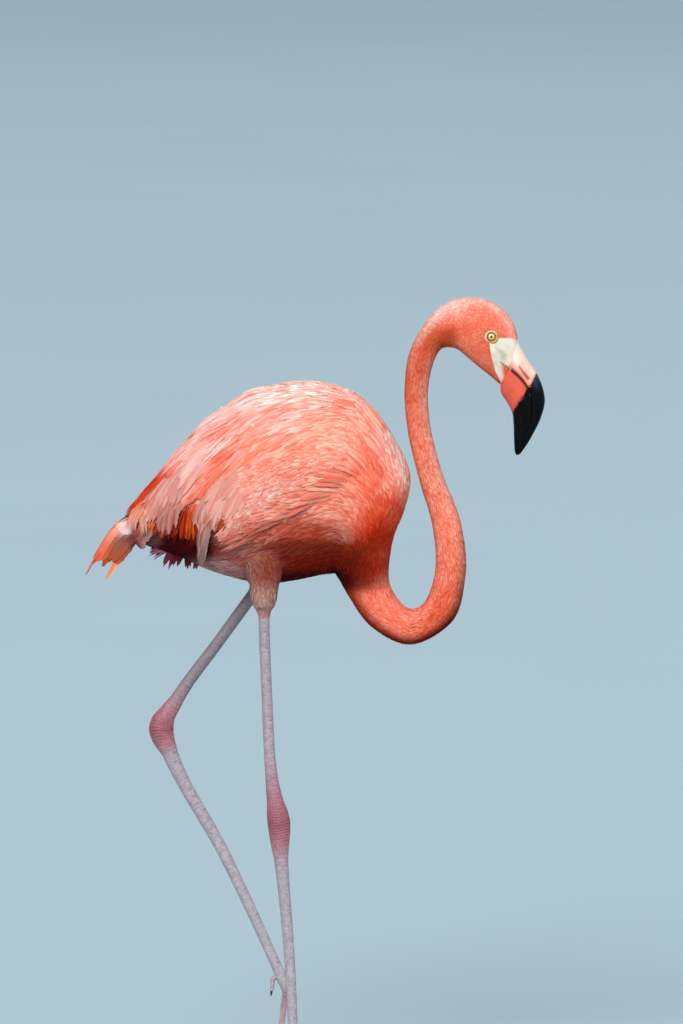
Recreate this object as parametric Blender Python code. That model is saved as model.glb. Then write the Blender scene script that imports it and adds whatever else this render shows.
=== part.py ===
"""An adult American flamingo, walking, as a still life-size display model on a flat base.

Metres, +Z up. The bird faces +X and its right side is towards -Y. The origin is the centre of the
underside of the base. It stands on its right foot and carries its left foot forward through a step.

The feathered body is one loft, from the rump over the breast, down the neck and up to the bill. Each
of its sections is given by a point on the back line, a point on the belly line and a half width. Over
the breast the sections turn like a fan about the corner where the belly meets the neck. The loft is
parted into trunk, neck lengths and head by thin gaps. The wings are shells over the trunk, fringed
with hanging plumes, and the tail is a fan of vanes.
"""

import math

import bmesh
import bpy
import numpy as np
from mathutils import Matrix, Vector

MM = 0.001
GAP = 0.35  # mm between touching pieces
EDGE_POWER = 2.2  # roundness of the body's sections; 2 is an ellipse

BASE_SIZE = (340.0, 240.0, 15.0)  # mm: length, width, thickness of the stand's plate
BASE_CORNER = 60.0
BASE_CHAMFER = 2.0
FLOOR = BASE_SIZE[2]  # mm, the level that the right foot stands on

# Back line (x, z), belly line (x, z) and half width of the body's sections, in mm, rump to neck root.
TRUNK_SECTIONS = [
    ((-190, 655), (-188, 631), 13),
    ((-170, 683), (-170, 623), 30),
    ((-144, 714), (-144, 615), 50),
    ((-118, 742), (-118, 603), 64),
    ((-91, 767), (-91, 594), 73),
    ((-65, 790), (-65, 588), 78),
    ((-38, 803), (-38, 587), 81),
    ((-12, 807), (-12, 591), 83),
    ((14, 805), (12, 596), 83),
    ((41, 797), (20, 598), 81),
    ((67, 778), (24, 597.5), 76),
    ((93, 742), (25.5, 597), 68),
    ((108.5, 702), (26.5, 596), 58),
    ((102, 668), (27, 594.5), 48),
    ((90, 637), (28, 592), 39),
    ((85, 608), (31, 588), 31),
]
# Centre (x, z), half depth and half width of the neck's sections, in mm, root to nape.
NECK_SECTIONS = [
    ((63, 580), 24.0, 25.0),
    ((78, 555), 21.5, 21.5),
    ((108, 537.5), 19.8, 19.5),
    ((139, 554), 18.7, 18.0),
    ((152, 595), 17.1, 16.5),
    ((148.5, 649), 15.8, 15.0),
    ((130, 706), 13.4, 13.2),
    ((117, 762), 12.9, 12.6),
    ((115, 805), 13.2, 12.6),
    ((122.5, 841), 14.6, 13.4),
]
# Crown line, throat line and half width of the head's sections, in mm, nape to the root of the bill.
HEAD_SECTIONS = [
    ((126.5, 876), (145, 846), 15.5),
    ((147, 894.5), (158, 845), 19.5),
    ((174, 901), (169.5, 836.5), 21.5),
    ((200, 894.5), (183, 825), 20.5),
    ((218, 878), (195, 815.5), 17.5),
    ((227.5, 849.5), (206.8, 805), 14.0),
]
# Where the loft is parted, counted in sections from the rump, and the names of the lengths between.
BODY_CUTS = [0, 16, 18, 19, 20, 22, 24, 26.4, 31]
BODY_NODES = ["trunk", "neck_root", "neck_loop_lower", "neck_loop_upper", "neck_rise",
              "neck_middle", "neck_upper", "head"]
BODY_SIDES = {"trunk": 24, "head": 20}
NECK_SIDES = 14

# Culmen, gape and keel lines (x, z), and half widths of the upper and lower bill, in mm, root to tip.
BILL_SECTIONS = [
    ((227.5, 849.5), (217.5, 822.3), (206.8, 805), 13.0, 13.0),
    ((236.5, 832.6), (224.5, 816.7), (210.1, 796.1), 12.5, 13.8),
    ((244.2, 818.2), (230.5, 810.5), (215.2, 786.1), 11.8, 14.0),
    ((251.6, 804.4), (236, 802.5), (219.6, 775), 10.8, 13.6),
    ((255.8, 788), (240, 790), (221.2, 762.9), 9.4, 12.6),
    ((251.8, 769.6), (240.3, 774), (221.7, 749.6), 7.6, 10.6),
    ((243.6, 752), (236, 756), (222.2, 738), 5.8, 8.0),
    ((235.4, 737.8), (230.6, 740.6), (222.9, 730.8), 4.0, 5.2),
    ((229, 729), (227.2, 730.4), (224.6, 727.6), 1.8, 2.2),
]
BILL_SIDES = 12

EYE_CENTRE = (196.5, 859.5)  # x, z in mm
EYE_RADIUS = 7.0
EYE_OUT = 1.9  # how far the eyeball stands out of the side of the head

# The shell of each wing, from shoulder to tip: x, height of its middle line, top edge, lower edge,
# half width, thickness, and how near the top line its upper edge comes (1 is the very top), in mm.
WING_SECTIONS = [
    (58, 712, 790, 742, 80, 3, 0.72),
    (46, 706, 802, 730, 87, 9, 0.78),
    (20, 702, 809, 716, 91, 12, 0.85),
    (-12, 699, 812, 702, 92, 14, 0.89),
    (-40, 695, 808, 688, 91, 14, 0.94),
    (-65, 690, 801.5, 667, 87, 13, 0.985),
    (-91, 684, 784, 640, 82, 13, 0.9985),
    (-118, 678, 766, 630, 73, 12, 0.9985),
    (-144, 668, 738, 634, 60, 10, 0.9985),
    (-170, 658, 705.5, 640, 45, 8, 0.9985),
    (-190, 654, 683, 644, 33, 6, 0.9985),
    (-207, 654, 662, 650, 20, 2.5, 0.9985),
]
WING_STEPS = 7
WING_EDGE = 1.2  # mm, thickness at the wing's edges

# Hanging plumes along the wing's lower edge, rear to front: tip (x, z) in mm, slope in degrees below
# level, and length in mm.
PLUMES = [((-191, 645), 44, 50), ((-173, 638), 50, 54), ((-156, 636), 56, 58), ((-139, 631), 62, 62),
          ((-123, 620), 68, 70), ((-108, 603), 74, 82)]
PLUME_HALF_WIDTH = 9.5
PLUME_THICKNESS = 4.0

# The tail's fan, in mm: middle line (x, z) of its middle vane and of its outer vanes.
TAIL_LINE = [(-176, 647), (-198, 652), (-218, 644), (-234, 624), (-247, 602)]
TAIL_EDGE_LINE = [(-180, 641), (-192, 636), (-203, 628), (-213, 615), (-221, 600)]
TAIL_VANES = 7
TAIL_HALF_SPREAD = ((0.0, 0.3, 0.45, 0.75, 1.0), (11.0, 15.0, 27.0, 40.0, 45.0))
TAIL_NOTCH = 0.13
TAIL_THICKNESS = (8.0, 2.4)
TAIL_COVERT_LINE = [(-180, 641), (-196, 640), (-210, 632), (-221, 620)]
TAIL_COVERT_SIZE = [(9.0, 15.0), (8.5, 14.0), (6.0, 11.0), (2.0, 4.0)]

# Middle line of each leg, in mm: knee, end of the feathers, middle of the shin, above the ankle,
# ankle, below the ankle, middle of the shank, root of the toes.
LEG_LINES = {
    "right": [(-52, -40, 618), (-52.5, -40, 561), (-49.5, -37, 468), (-44, -35, 372), (-37.4, -33, 324),
              (-34, -32, 284), (-26, -28, 190), (-19, -24, 28)],
    "left": [(-28, 40, 620), (-60, 40, 576), (-104, 39.5, 515.5), (-149, 38.5, 453), (-167, 38, 419),
             (-157, 37.5, 391), (-99, 37, 282), (-31.4, 36, 135)],
}
# Half depth and half width of a leg, in mm, at places along it counted in points of its middle line.
LEG_SIZES = [
    (0.0, 27, 24), (0.25, 21, 20), (0.5, 16.5, 16.5), (0.8, 14.2, 13.8), (0.93, 12, 11.4), (1.0, 8.4, 7.6),
    (1.01, 6.3, 5.8), (2.0, 6.1, 5.2), (2.7, 6.4, 5.4), (3.0, 7.2, 6.2), (3.5, 9.6, 8.2), (3.75, 12.2, 9.6),
    (4.0, 13.2, 10.2), (4.35, 12.0, 9.8), (4.7, 10.0, 8.6), (5.0, 8.2, 7.3), (5.3, 7.0, 6.2),
    (6.0, 6.2, 5.2), (6.8, 5.4, 4.9), (7.0, 5.8, 5.6),
]
LEG_DEPTH = {"right": 0.97, "left": 1.06}  # the left leg is turned a little, which shows it deeper
ANKLE_FORWARD = {"right": 1.0, "left": 0.0}  # mm, how far the ankle's knob sits off the middle line
LEG_CUTS = [0.0, 1.0, 3.0, 5.0, 7.0]
LEG_NODES = ["thigh", "tibia", "ankle", "tarsus"]
LEG_SIDES = {"thigh": 16, "tibia": 10, "ankle": 12, "tarsus": 10}

# Toes: name, length in mm and angle out from the middle toe in degrees.
TOES = [("inner", 58.0, -37.0), ("middle", 74.0, 0.0), ("outer", 66.0, 34.0)]
TOE_RADIUS = (4.6, 4.2, 3.9, 3.5, 2.6)
TOE_FLAT = 0.82  # toes are this much lower than wide
TOE_SPREAD = {"right": 1.0, "left": 0.42}
TOE_HEADING = {"right": (0.0, 4.0), "left": (-96.0, 0.0)}  # degrees: pitch and turn outwards
WEB_REACH = 0.86
WEB_SCALLOP = 0.20
WEB_THICKNESS = 1.3
CLAW_LENGTH = 8.0
HIND_TOE_LENGTH = 15.0
HIND_TOE_RISE = 9.0  # mm above the shank's lower end
FOOT_KNOB = 6.2  # mm, radius of the knob that the toes spring from

COLOURS = {
    "coral plumage": ("EF7455", 0.75),
    "neck plumage": ("EA6A48", 0.75),
    "wing plumage": ("F6A48F", 0.75),
    "tail plumage": ("F2A088", 0.75),
    "thigh plumage": ("D99A7E", 0.8),
    "bare face and bill": ("E9D9C8", 0.45),
    "bill horn": ("171619", 0.35),
    "eye": ("D9B85C", 0.1),
    "leg skin": ("A98793", 0.5),
    "ankle skin": ("C0616B", 0.5),
    "foot skin": ("B58C96", 0.55),
    "claw horn": ("2A2426", 0.4),
    "base": ("C9C4BA", 0.6),
}
SMOOTH_ANGLE = math.radians(40)


def clear_scene():
    """Remove every object of the startup scene."""
    for obj in list(bpy.data.objects):
        bpy.data.objects.remove(obj, do_unlink=True)


def material(name):
    """The named material, made once, with its colour and roughness from COLOURS."""
    found = bpy.data.materials.get(name)
    if found:
        return found
    made = bpy.data.materials.new(name)
    made.use_nodes = True
    shader = made.node_tree.nodes["Principled BSDF"]
    code, roughness = COLOURS[name]
    srgb = [int(code[i:i + 2], 16) / 255 for i in (0, 2, 4)]
    linear = [c / 12.92 if c <= 0.04045 else ((c + 0.055) / 1.055) ** 2.4 for c in srgb]
    shader.inputs["Base Color"].default_value = (*linear, 1.0)
    shader.inputs["Roughness"].default_value = roughness
    shader.inputs["Metallic"].default_value = 0.0
    return made


def spline(keys, t):
    """Smooth curve through the rows of keys, read at t, counted in rows; rows may be unevenly spaced."""
    keys = np.asarray(keys, float)
    t = np.atleast_1d(np.asarray(t, float))
    gaps = np.linalg.norm(np.diff(keys, axis=0), axis=1).clip(1e-6)[:, None]
    slopes = np.diff(keys, axis=0) / gaps
    inner = (slopes[:-1] * gaps[1:] + slopes[1:] * gaps[:-1]) / (gaps[:-1] + gaps[1:])
    ends = slopes[:1] * 1.5 - inner[:1] * 0.5, slopes[-1:] * 1.5 - inner[-1:] * 0.5
    tangents = np.vstack([ends[0], inner, ends[1]])
    i = np.clip(np.floor(t).astype(int), 0, len(keys) - 2)
    f = (t - i)[:, None]
    start, end = tangents[i] * gaps[i], tangents[i + 1] * gaps[i]
    return ((2 * f**3 - 3 * f**2 + 1) * keys[i] + (f**3 - 2 * f**2 + f) * start
            + (3 * f**2 - 2 * f**3) * keys[i + 1] + (f**3 - f**2) * end)


def read_table(table, x):
    """Smooth values of a table whose first column is the place, read at x."""
    table = np.asarray(sorted(table), float)
    rows = np.interp(x, table[:, 0], np.arange(len(table)))
    return spline(table[:, 1:], rows)


def body_sections():
    """Back line, belly line and half width of every section, from the rump to the bill's root."""
    rows = [(*back, *belly, half) for back, belly, half in TRUNK_SECTIONS]
    centres = np.array([centre for centre, _, _ in NECK_SECTIONS], float)
    first = np.mean(TRUNK_SECTIONS[-1][:2], axis=0)
    last = np.mean(HEAD_SECTIONS[0][:2], axis=0)
    line = np.vstack([first, centres, last])
    along = line[2:] - line[:-2]
    along /= np.linalg.norm(along, axis=1)[:, None]
    backwards = np.column_stack([-along[:, 1], along[:, 0]])
    for centre, normal, (_, depth, half) in zip(centres, backwards, NECK_SECTIONS):
        rows.append((*(centre + depth * normal), *(centre - depth * normal), half))
    rows += [(*back, *belly, half) for back, belly, half in HEAD_SECTIONS]
    return np.array(rows, float)


def superellipse(sides, power=EDGE_POWER):
    """Unit section: across and upwards, starting at the right side."""
    turn = np.linspace(0, 2 * math.pi, sides, endpoint=False)
    c, s = np.cos(turn), np.sin(turn)
    return np.sign(c) * np.abs(c) ** (2 / power), np.sign(s) * np.abs(s) ** (2 / power)


def body_rings(start, end, per_section, sides, grow=0.0):
    """Rings of the body's loft between two places, each pushed out by grow mm."""
    count = max(2, int(round((end - start) * per_section)) + 1)
    read = spline(body_sections(), np.linspace(start, end, count))
    back, belly, half = read[:, 0:2], read[:, 2:4], read[:, 4] + grow
    middle, rise = (back + belly) / 2, (back - belly) / 2
    length = np.linalg.norm(rise, axis=1)[:, None]
    rise = rise * (length + grow) / length
    across, up = superellipse(sides)
    x = middle[:, 0:1] + rise[:, 0:1] * up
    y = half[:, None] * across
    z = middle[:, 1:2] + rise[:, 1:2] * up
    return np.stack([x, y, z], axis=2)


def put_in_scene(name, bm, kind):
    """Turn a bmesh in millimetres into a named object in metres with its material."""
    bmesh.ops.recalc_face_normals(bm, faces=bm.faces)
    bm.transform(Matrix.Scale(MM, 4))
    mesh = bpy.data.meshes.new(name)
    bm.to_mesh(mesh)
    bm.free()
    mesh.shade_smooth()
    mesh.set_sharp_from_angle(angle=SMOOTH_ANGLE)
    mesh.materials.append(material(kind))
    obj = bpy.data.objects.new(name, mesh)
    bpy.context.scene.collection.objects.link(obj)
    return obj


def skin_rings(bm, rings, folded=False):
    """Join rings of equal length by quads and close both ends.

    A plain ring is closed by a fan about its middle. A folded ring runs out along a shell's outer
    face and back along its inner face, so it is closed by rungs from the one to the other.
    """
    rows = [[bm.verts.new(p) for p in ring] for ring in rings]
    sides = len(rows[0])
    for low, high in zip(rows, rows[1:]):
        for i in range(sides):
            j = (i + 1) % sides
            bm.faces.new((low[i], low[j], high[j], high[i]))
    for row, ring in ((rows[0], rings[0]), (rows[-1], rings[-1])):
        if folded:
            for i in range(sides // 2 - 1):
                bm.faces.new((row[i], row[i + 1], row[sides - 2 - i], row[sides - 1 - i]))
            continue
        hub = bm.verts.new(np.mean(ring, axis=0))
        for i in range(sides):
            bm.faces.new((row[i], row[(i + 1) % sides], hub))


def loft(name, rings, kind, folded=False):
    """A closed object through rings of points in millimetres."""
    bm = bmesh.new()
    skin_rings(bm, rings, folded)
    return put_in_scene(name, bm, kind)


def helper(obj):
    """Keep a cutter or an added shape out of the model."""
    obj.hide_render = True
    obj.display_type = "WIRE"
    return obj


def combine(obj, other, operation):
    """Add a Boolean modifier that cuts away, adds or keeps the other object's volume."""
    step = obj.modifiers.new(operation.lower() + "_" + other.name, "BOOLEAN")
    step.operation = operation
    step.solver = "EXACT"
    step.object = other
    return obj


def swept_rings(line, places, sizes, sides, lateral=(0, 1, 0), power=2.0, offset=None):
    """Rings across a curved line: half depth and half width in mm at each place along it."""
    centres = spline(line, places)
    ahead = spline(line, np.asarray(places) + 0.02) - spline(line, np.asarray(places) - 0.02)
    ahead /= np.linalg.norm(ahead, axis=1)[:, None]
    side = np.broadcast_to(np.array(lateral, float), centres.shape)
    side = side - (side * ahead).sum(1)[:, None] * ahead
    side /= np.linalg.norm(side, axis=1)[:, None]
    normal = np.cross(side, ahead)
    if offset is not None:
        centres = centres + normal * np.asarray(offset)[:, None]
    across, up = superellipse(sides, power)
    depth, width = np.asarray(sizes, float).T
    return (centres[:, None] + side[:, None] * (width[:, None] * across)[..., None]
            + normal[:, None] * (depth[:, None] * up)[..., None])


def build_body():
    """Trunk, neck lengths and head, parted by thin gaps."""
    total = body_sections()
    steps = np.linalg.norm(np.diff((total[:, 0:2] + total[:, 2:4]) / 2, axis=0), axis=1)
    made = {}
    for name, start, end in zip(BODY_NODES, BODY_CUTS, BODY_CUTS[1:]):
        trim_start = 0 if start == 0 else GAP / 2 / steps[min(int(start), len(steps) - 1)]
        trim_end = GAP / 2 / steps[min(int(end), len(steps)) - 1]
        sides = BODY_SIDES.get(name, NECK_SIDES)
        per_section = {"trunk": 1.3, "head": 2.0}.get(name, 3.0)
        rings = body_rings(start + trim_start, end - trim_end, per_section, sides)
        kind = "coral plumage" if name in ("trunk", "head") else "neck plumage"
        made[name] = loft(name, rings, kind)
    return made


def bill_rings(upper):
    """Rings of the upper or the lower bill, from root to tip."""
    rows = []
    for culmen, gape, keel, upper_half, lower_half in BILL_SECTIONS:
        outer = culmen if upper else keel
        rows.append((*outer, *gape, upper_half if upper else lower_half))
    read = spline(rows, np.linspace(0, len(rows) - 1, 13))
    outer, gape, half = read[:, 0:2], read[:, 2:4], read[:, 4]
    depth = outer - gape
    span = np.linalg.norm(depth, axis=1)[:, None]
    gape = gape + depth * (GAP / 2) / span
    depth = outer - gape
    turn = np.linspace(0, math.pi, BILL_SIDES - 3)
    across = np.concatenate([np.cos(turn) ** 1, [-0.72, 0.0, 0.72]])
    up = np.concatenate([0.16 + 0.84 * np.sin(turn) ** 0.8, [0.0, 0.0, 0.0]])
    x = gape[:, 0:1] + depth[:, 0:1] * up
    z = gape[:, 1:2] + depth[:, 1:2] * up
    return np.stack([x, half[:, None] * across, z], axis=2)


def build_bill():
    """Upper and lower bill, set a thin gap off the face and off each other."""
    forward = np.array([0.905, 0.0, -0.425]) * GAP
    for name, upper in (("bill_upper", True), ("bill_lower", False)):
        loft(name, bill_rings(upper) + forward, "bill horn")


def sphere(name, centre, radius, kind, segments=14):
    """A ball, in millimetres."""
    bm = bmesh.new()
    bmesh.ops.create_uvsphere(bm, u_segments=segments, v_segments=segments // 2, radius=radius)
    bmesh.ops.translate(bm, verts=bm.verts, vec=Vector(centre))
    return put_in_scene(name, bm, kind)


def head_half_width(x, z):
    """Half width of the head at a point of its side, from the sections of its loft."""
    places = np.linspace(26.4, 31, 200)
    read = spline(body_sections(), places)
    middle, rise = (read[:, 0:2] + read[:, 2:4]) / 2, (read[:, 0:2] - read[:, 2:4]) / 2
    length = np.linalg.norm(rise, axis=1)
    along = np.column_stack([rise[:, 1], -rise[:, 0]]) / length[:, None]
    off = np.array([x, z]) - middle
    nearest = int(np.argmin(np.abs((off * along).sum(1))))
    height = (off[nearest] * rise[nearest]).sum() / length[nearest] ** 2
    return read[nearest, 4] * (1 - abs(height) ** EDGE_POWER) ** (1 / EDGE_POWER)


def build_eyes(head):
    """Both eyeballs, each in a socket cut in the head."""
    x, z = EYE_CENTRE
    out = head_half_width(x, z) + EYE_OUT - EYE_RADIUS
    for side, sign in (("right", -1), ("left", 1)):
        centre = (x, sign * out, z)
        sphere("eye_" + side, centre, EYE_RADIUS, "eye")
        socket = helper(sphere("socket_" + side, centre, EYE_RADIUS + GAP * 1.3, "eye"))
        combine(head, socket, "DIFFERENCE")


def wing_half_width(x, z):
    """Half width of the wing's shell at a point seen from the side."""
    middle, top, _, half, _, _ = read_table(WING_SECTIONS, x).T
    height = np.clip(np.abs((z - middle) / (top - middle)), 0, 1)
    return half * (1 - height**EDGE_POWER) ** (1 / EDGE_POWER)


def wing_rings():
    """Crescent rings of the right wing: its outer face, then its inner face back again."""
    places = np.linspace(WING_SECTIONS[0][0], WING_SECTIONS[-1][0], 14)
    middle, top, lower, half, thick, ridge = read_table(WING_SECTIONS, places).T
    ridge = ridge.clip(0, 0.9985)
    low = (lower - middle) / (top - middle)
    step = np.linspace(0, 1, WING_STEPS)
    # Heights step evenly in angle, so that the shell's facets are evenly wide.
    angle_low, angle_high = np.arcsin(low), np.arcsin(ridge)
    height = np.sin(angle_low[:, None] + (angle_high - angle_low)[:, None] * step)
    width = (1 - np.abs(height) ** EDGE_POWER) ** (1 / EDGE_POWER)
    inset = WING_EDGE + (thick[:, None] - WING_EDGE) * np.sin(math.pi * step) ** 0.6
    outer_y = half[:, None] * width
    outer_z = middle[:, None] + (top - middle)[:, None] * height
    inner_y = outer_y - inset * np.sqrt(1 - height**2).clip(0.35)
    inner_z = outer_z - inset * height
    x = np.broadcast_to(places[:, None], outer_y.shape)
    outer = np.stack([x, -outer_y, outer_z], axis=2)
    inner = np.stack([x, -inner_y, inner_z], axis=2)
    return np.concatenate([outer, inner[:, ::-1]], axis=1)


def plume_rings(tip, angle, length):
    """Rings of one hanging plume, from under the wing's feathers to its tip."""
    s = np.linspace(0, 1, 5)
    bend = math.radians(angle) - 0.35 * (1 - s)
    x = tip[0] + length * np.cos(bend) * (1 - s)
    z = tip[1] + length * np.sin(bend) * (1 - s)
    y = -wing_half_width(x, np.maximum(z, 632.0)) - 0.6 + 5.0 * s**2
    line = np.column_stack([x, y, z])
    width = PLUME_HALF_WIDTH * np.sin(math.pi * (0.12 + 0.83 * s) ** 0.9).clip(0.12)
    thick = PLUME_THICKNESS * (1 - 0.65 * s) / 2
    across = np.array([math.sin(math.radians(angle)), 0.0, math.cos(math.radians(angle))])
    return swept_rings(line, np.arange(5), np.column_stack([thick, width]), 6, across)


def mirrored(obj, name):
    """The finished shape of an object, mirrored to the other side of the middle plane."""
    graph = bpy.context.evaluated_depsgraph_get()
    mesh = bpy.data.meshes.new_from_object(obj.evaluated_get(graph))
    mesh.transform(Matrix.Diagonal((1, -1, 1, 1)))
    mesh.flip_normals()
    other = bpy.data.objects.new(name, mesh)
    bpy.context.scene.collection.objects.link(other)
    return other


def build_wings(trunk_keepout):
    """Both wings: the shell and its plumes, cut to lie on the trunk."""
    wing = loft("wing_right", wing_rings(), "wing plumage", folded=True)
    for i, (tip, angle, length) in enumerate(PLUMES):
        plume = helper(loft(f"plume_{i}", plume_rings(tip, angle, length), "wing plumage"))
        combine(wing, plume, "UNION")
    combine(wing, trunk_keepout, "DIFFERENCE")
    mirrored(wing, "wing_left")


def tail_rings():
    """Folded rings of the tail's fan: its top from side to side, then its underside back again."""
    across = np.linspace(-1, 1, TAIL_VANES * 2 + 1)
    notch = np.abs(np.sin(math.pi * TAIL_VANES * (across + 1) / 2 + math.pi / 2)) ** 1.5
    outer = np.abs(across[:, None]) ** 1.7
    rows = []
    for s in np.linspace(0, 1, 8):
        along = (1 - TAIL_NOTCH * notch) * s * (len(TAIL_LINE) - 1)
        read = spline(TAIL_LINE, along) * (1 - outer) + spline(TAIL_EDGE_LINE, along) * outer
        half = np.interp(s, TAIL_HALF_SPREAD[0], TAIL_HALF_SPREAD[1])
        thick = np.interp(s, (0, 1), TAIL_THICKNESS) * (0.62 + 0.38 * (1 - notch))
        y = half * across
        z = read[:, 1]
        top = np.column_stack([read[:, 0], y, z + thick / 2])
        under = np.column_stack([read[:, 0], y, z - thick / 2])
        rows.append(np.vstack([top, under[::-1]]))
    return rows


def build_tail(trunk_keepout):
    """The fan of tail vanes with the coverts under its root."""
    tail = loft("tail", tail_rings(), "tail plumage", folded=True)
    sizes = np.array([np.interp(np.linspace(0, 3, 6), range(4), column)
                      for column in zip(*TAIL_COVERT_SIZE)]).T
    rings = swept_rings([(x, 0, z) for x, z in TAIL_COVERT_LINE], np.linspace(0, 3, 6), sizes, 10)
    combine(tail, helper(loft("tail_coverts", rings, "tail plumage")), "UNION")
    combine(tail, trunk_keepout, "DIFFERENCE")
    return tail


def leg_sizes(places, side):
    """Half depth and half width along a leg."""
    table = np.array(LEG_SIZES, float) * (1.0, LEG_DEPTH[side], 1.0)
    return np.column_stack([np.interp(places, table[:, 0], table[:, k]) for k in (1, 2)])


def build_leg(side, trunk_keepout):
    """Feathered thigh, bare shin, ankle knob and shank of one leg."""
    line = LEG_LINES[side]
    lengths = np.linalg.norm(np.diff(np.array(line, float), axis=0), axis=1)
    for name, start, end in zip(LEG_NODES, LEG_CUTS, LEG_CUTS[1:]):
        rings = {"thigh": 9, "tibia": 7, "ankle": 9, "tarsus": 7}[name]
        trim_start = GAP / 2 / lengths[int(start)] if start else 0
        trim_end = GAP / 2 / lengths[int(end) - 1]
        places = np.linspace(start + trim_start, end - trim_end, rings)
        sizes = leg_sizes(np.maximum(places, 1.01) if start >= 1 else places, side)
        knob = ANKLE_FORWARD[side] * np.exp(-((places - 4) / 0.5) ** 2)
        kind = {"thigh": "thigh plumage", "ankle": "ankle skin"}.get(name, "leg skin")
        made = loft(f"{name}_{side}", swept_rings(line, places, sizes, LEG_SIDES[name], offset=-knob), kind)
        if name == "thigh":
            combine(made, trunk_keepout, "DIFFERENCE")


def foot_frame(side, heading):
    """Matrix from a foot's own axes (ahead, outwards, up) to the model's: heading is pitch and turn."""
    pitch, turn = heading
    outward = -1.0 if side == "right" else 1.0
    axes = Matrix.Rotation(math.radians(turn) * outward, 4, "Z") @ Matrix.Rotation(
        -math.radians(pitch), 4, "Y")
    return axes, outward


def toe_line(length, angle, level):
    """Middle line of a toe on its foot's own axes: it drops from the root and runs level."""
    ahead, out = math.cos(math.radians(angle)), math.sin(math.radians(angle))
    reach = np.array([0.0, 0.22, 0.5, 0.78, 1.0]) * length
    rise = np.array([level[0], level[1], level[2], level[2], level[2]])
    return np.column_stack([reach * ahead, reach * out, rise])


def web_points(side):
    """Outline of the skin between the toes: out along the inner toe, over both scallops, and back."""
    points = [(0.0, 0.0)]
    for first, second in ((TOES[0], TOES[1]), (TOES[1], TOES[2])):
        for t in np.linspace(0, 1, 5)[(1 if len(points) > 1 else 0):]:
            angle = math.radians(first[2] + (second[2] - first[2]) * t) * TOE_SPREAD[side]
            reach = (first[1] * (1 - t) + second[1] * t) * WEB_REACH
            reach *= 1 - WEB_SCALLOP * math.sin(math.pi * t)
            points.append((reach * math.cos(angle), reach * math.sin(angle)))
    return points


def build_web(side, height):
    """The skin between the toes, as a thin plate whose underside is at the given height."""
    bm = bmesh.new()
    face = bm.faces.new([bm.verts.new((x, y, height)) for x, y in web_points(side)])
    wall = bmesh.ops.extrude_face_region(bm, geom=[face])
    top = [v for v in wall["geom"] if isinstance(v, bmesh.types.BMVert)]
    bmesh.ops.translate(bm, verts=top, vec=(0, 0, WEB_THICKNESS))
    return helper(put_in_scene("web_" + side, bm, "foot skin"))


def to_model(obj, side, root, heading=None):
    """Move a foot's piece from its own axes to its place under the shank."""
    axes, outward = foot_frame(side, heading or TOE_HEADING[side])
    place = Matrix.Translation(Vector(root) * MM) @ axes @ Matrix.Diagonal((1, outward, 1, 1))
    obj.data.transform(place)
    if outward < 0:
        obj.data.flip_normals()
    return obj


def build_foot(side, floor_box):
    """Three webbed front toes, the small hind toe, and a claw on each."""
    lying = side == "right"
    end, shank = np.array(LEG_LINES[side][-1], float), np.array(LEG_LINES[side][-2], float)
    root = end + (end - shank) / np.linalg.norm(end - shank) * (FOOT_KNOB + GAP)
    sole = FLOOR + GAP - root[2]
    level = (0.0, sole + TOE_RADIUS[0] * TOE_FLAT + 0.8, sole + TOE_RADIUS[2] * TOE_FLAT - 0.6)
    if not lying:
        level = (0.0, -0.5, -1.5)
    spread = TOE_SPREAD[side]
    foot = sphere("foot_" + side, (0, 0, 0), FOOT_KNOB, "foot skin", 12)
    for name, length, angle in TOES:
        line = toe_line(length, angle * spread, level)
        places = np.linspace(0, 4, 6)
        wide = np.interp(places, range(5), TOE_RADIUS)
        rings = swept_rings(line, places, np.column_stack([wide * TOE_FLAT, wide]), 8)
        toe = helper(loft(f"toe_{name}_{side}", rings, "foot skin"))
        to_model(toe, side, root)
        combine(foot, toe, "UNION")
        tip = line[-1] + np.array([math.cos(math.radians(angle * spread)),
                                   math.sin(math.radians(angle * spread)), 0]) * GAP
        heading = (line[-1] - line[-2]) / np.linalg.norm(line[-1] - line[-2])
        claw_line = [tip + heading * CLAW_LENGTH * k / 3 - np.array([0, 0, 0.35 * k**1.5]) * (0 if lying else 1)
                     for k in range(4)]
        claw = loft(f"claw_{name}_{side}",
                    swept_rings(claw_line, np.linspace(0, 3, 4),
                                [(2.1, 2.3), (1.8, 2.0), (1.3, 1.3), (0.5, 0.4)], 6), "claw horn")
        to_model(claw, side, root)
        if lying:
            combine(claw, floor_box, "DIFFERENCE")
    web = to_model(build_web(side, level[2] - TOE_RADIUS[2] * TOE_FLAT + 1.0), side, root)
    combine(foot, web, "UNION")
    to_model(foot, side, root)
    if lying:
        combine(foot, floor_box, "DIFFERENCE")
    build_hind_toe(side, end, shank)


def build_hind_toe(side, root, shank):
    """The small raised hind toe with its claw, behind the lower end of the shank."""
    start = np.array([-9.0, 0.8, HIND_TOE_RISE])
    back = np.array([-0.52, -0.22, -0.82])
    line = [start + back * HIND_TOE_LENGTH * k / 3 for k in range(4)]
    toe = loft(f"hind_toe_{side}", swept_rings(line, np.linspace(0, 3, 5),
               [(2.6, 2.8), (2.5, 2.7), (2.2, 2.4), (1.9, 2.0), (1.5, 1.6)], 8), "foot skin")
    tip = line[-1] + back * GAP
    claw_line = [tip + back * 5.0 * k / 3 for k in range(4)]
    claw = loft(f"claw_hind_{side}", swept_rings(claw_line, np.linspace(0, 3, 4),
                [(1.4, 1.5), (1.2, 1.2), (0.9, 0.9), (0.45, 0.45)], 8), "claw horn")
    lean = math.degrees(math.atan2(shank[0] - root[0], shank[2] - root[2]))
    for obj in (toe, claw):
        to_model(obj, side, root, (-lean, 0.0))


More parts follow.
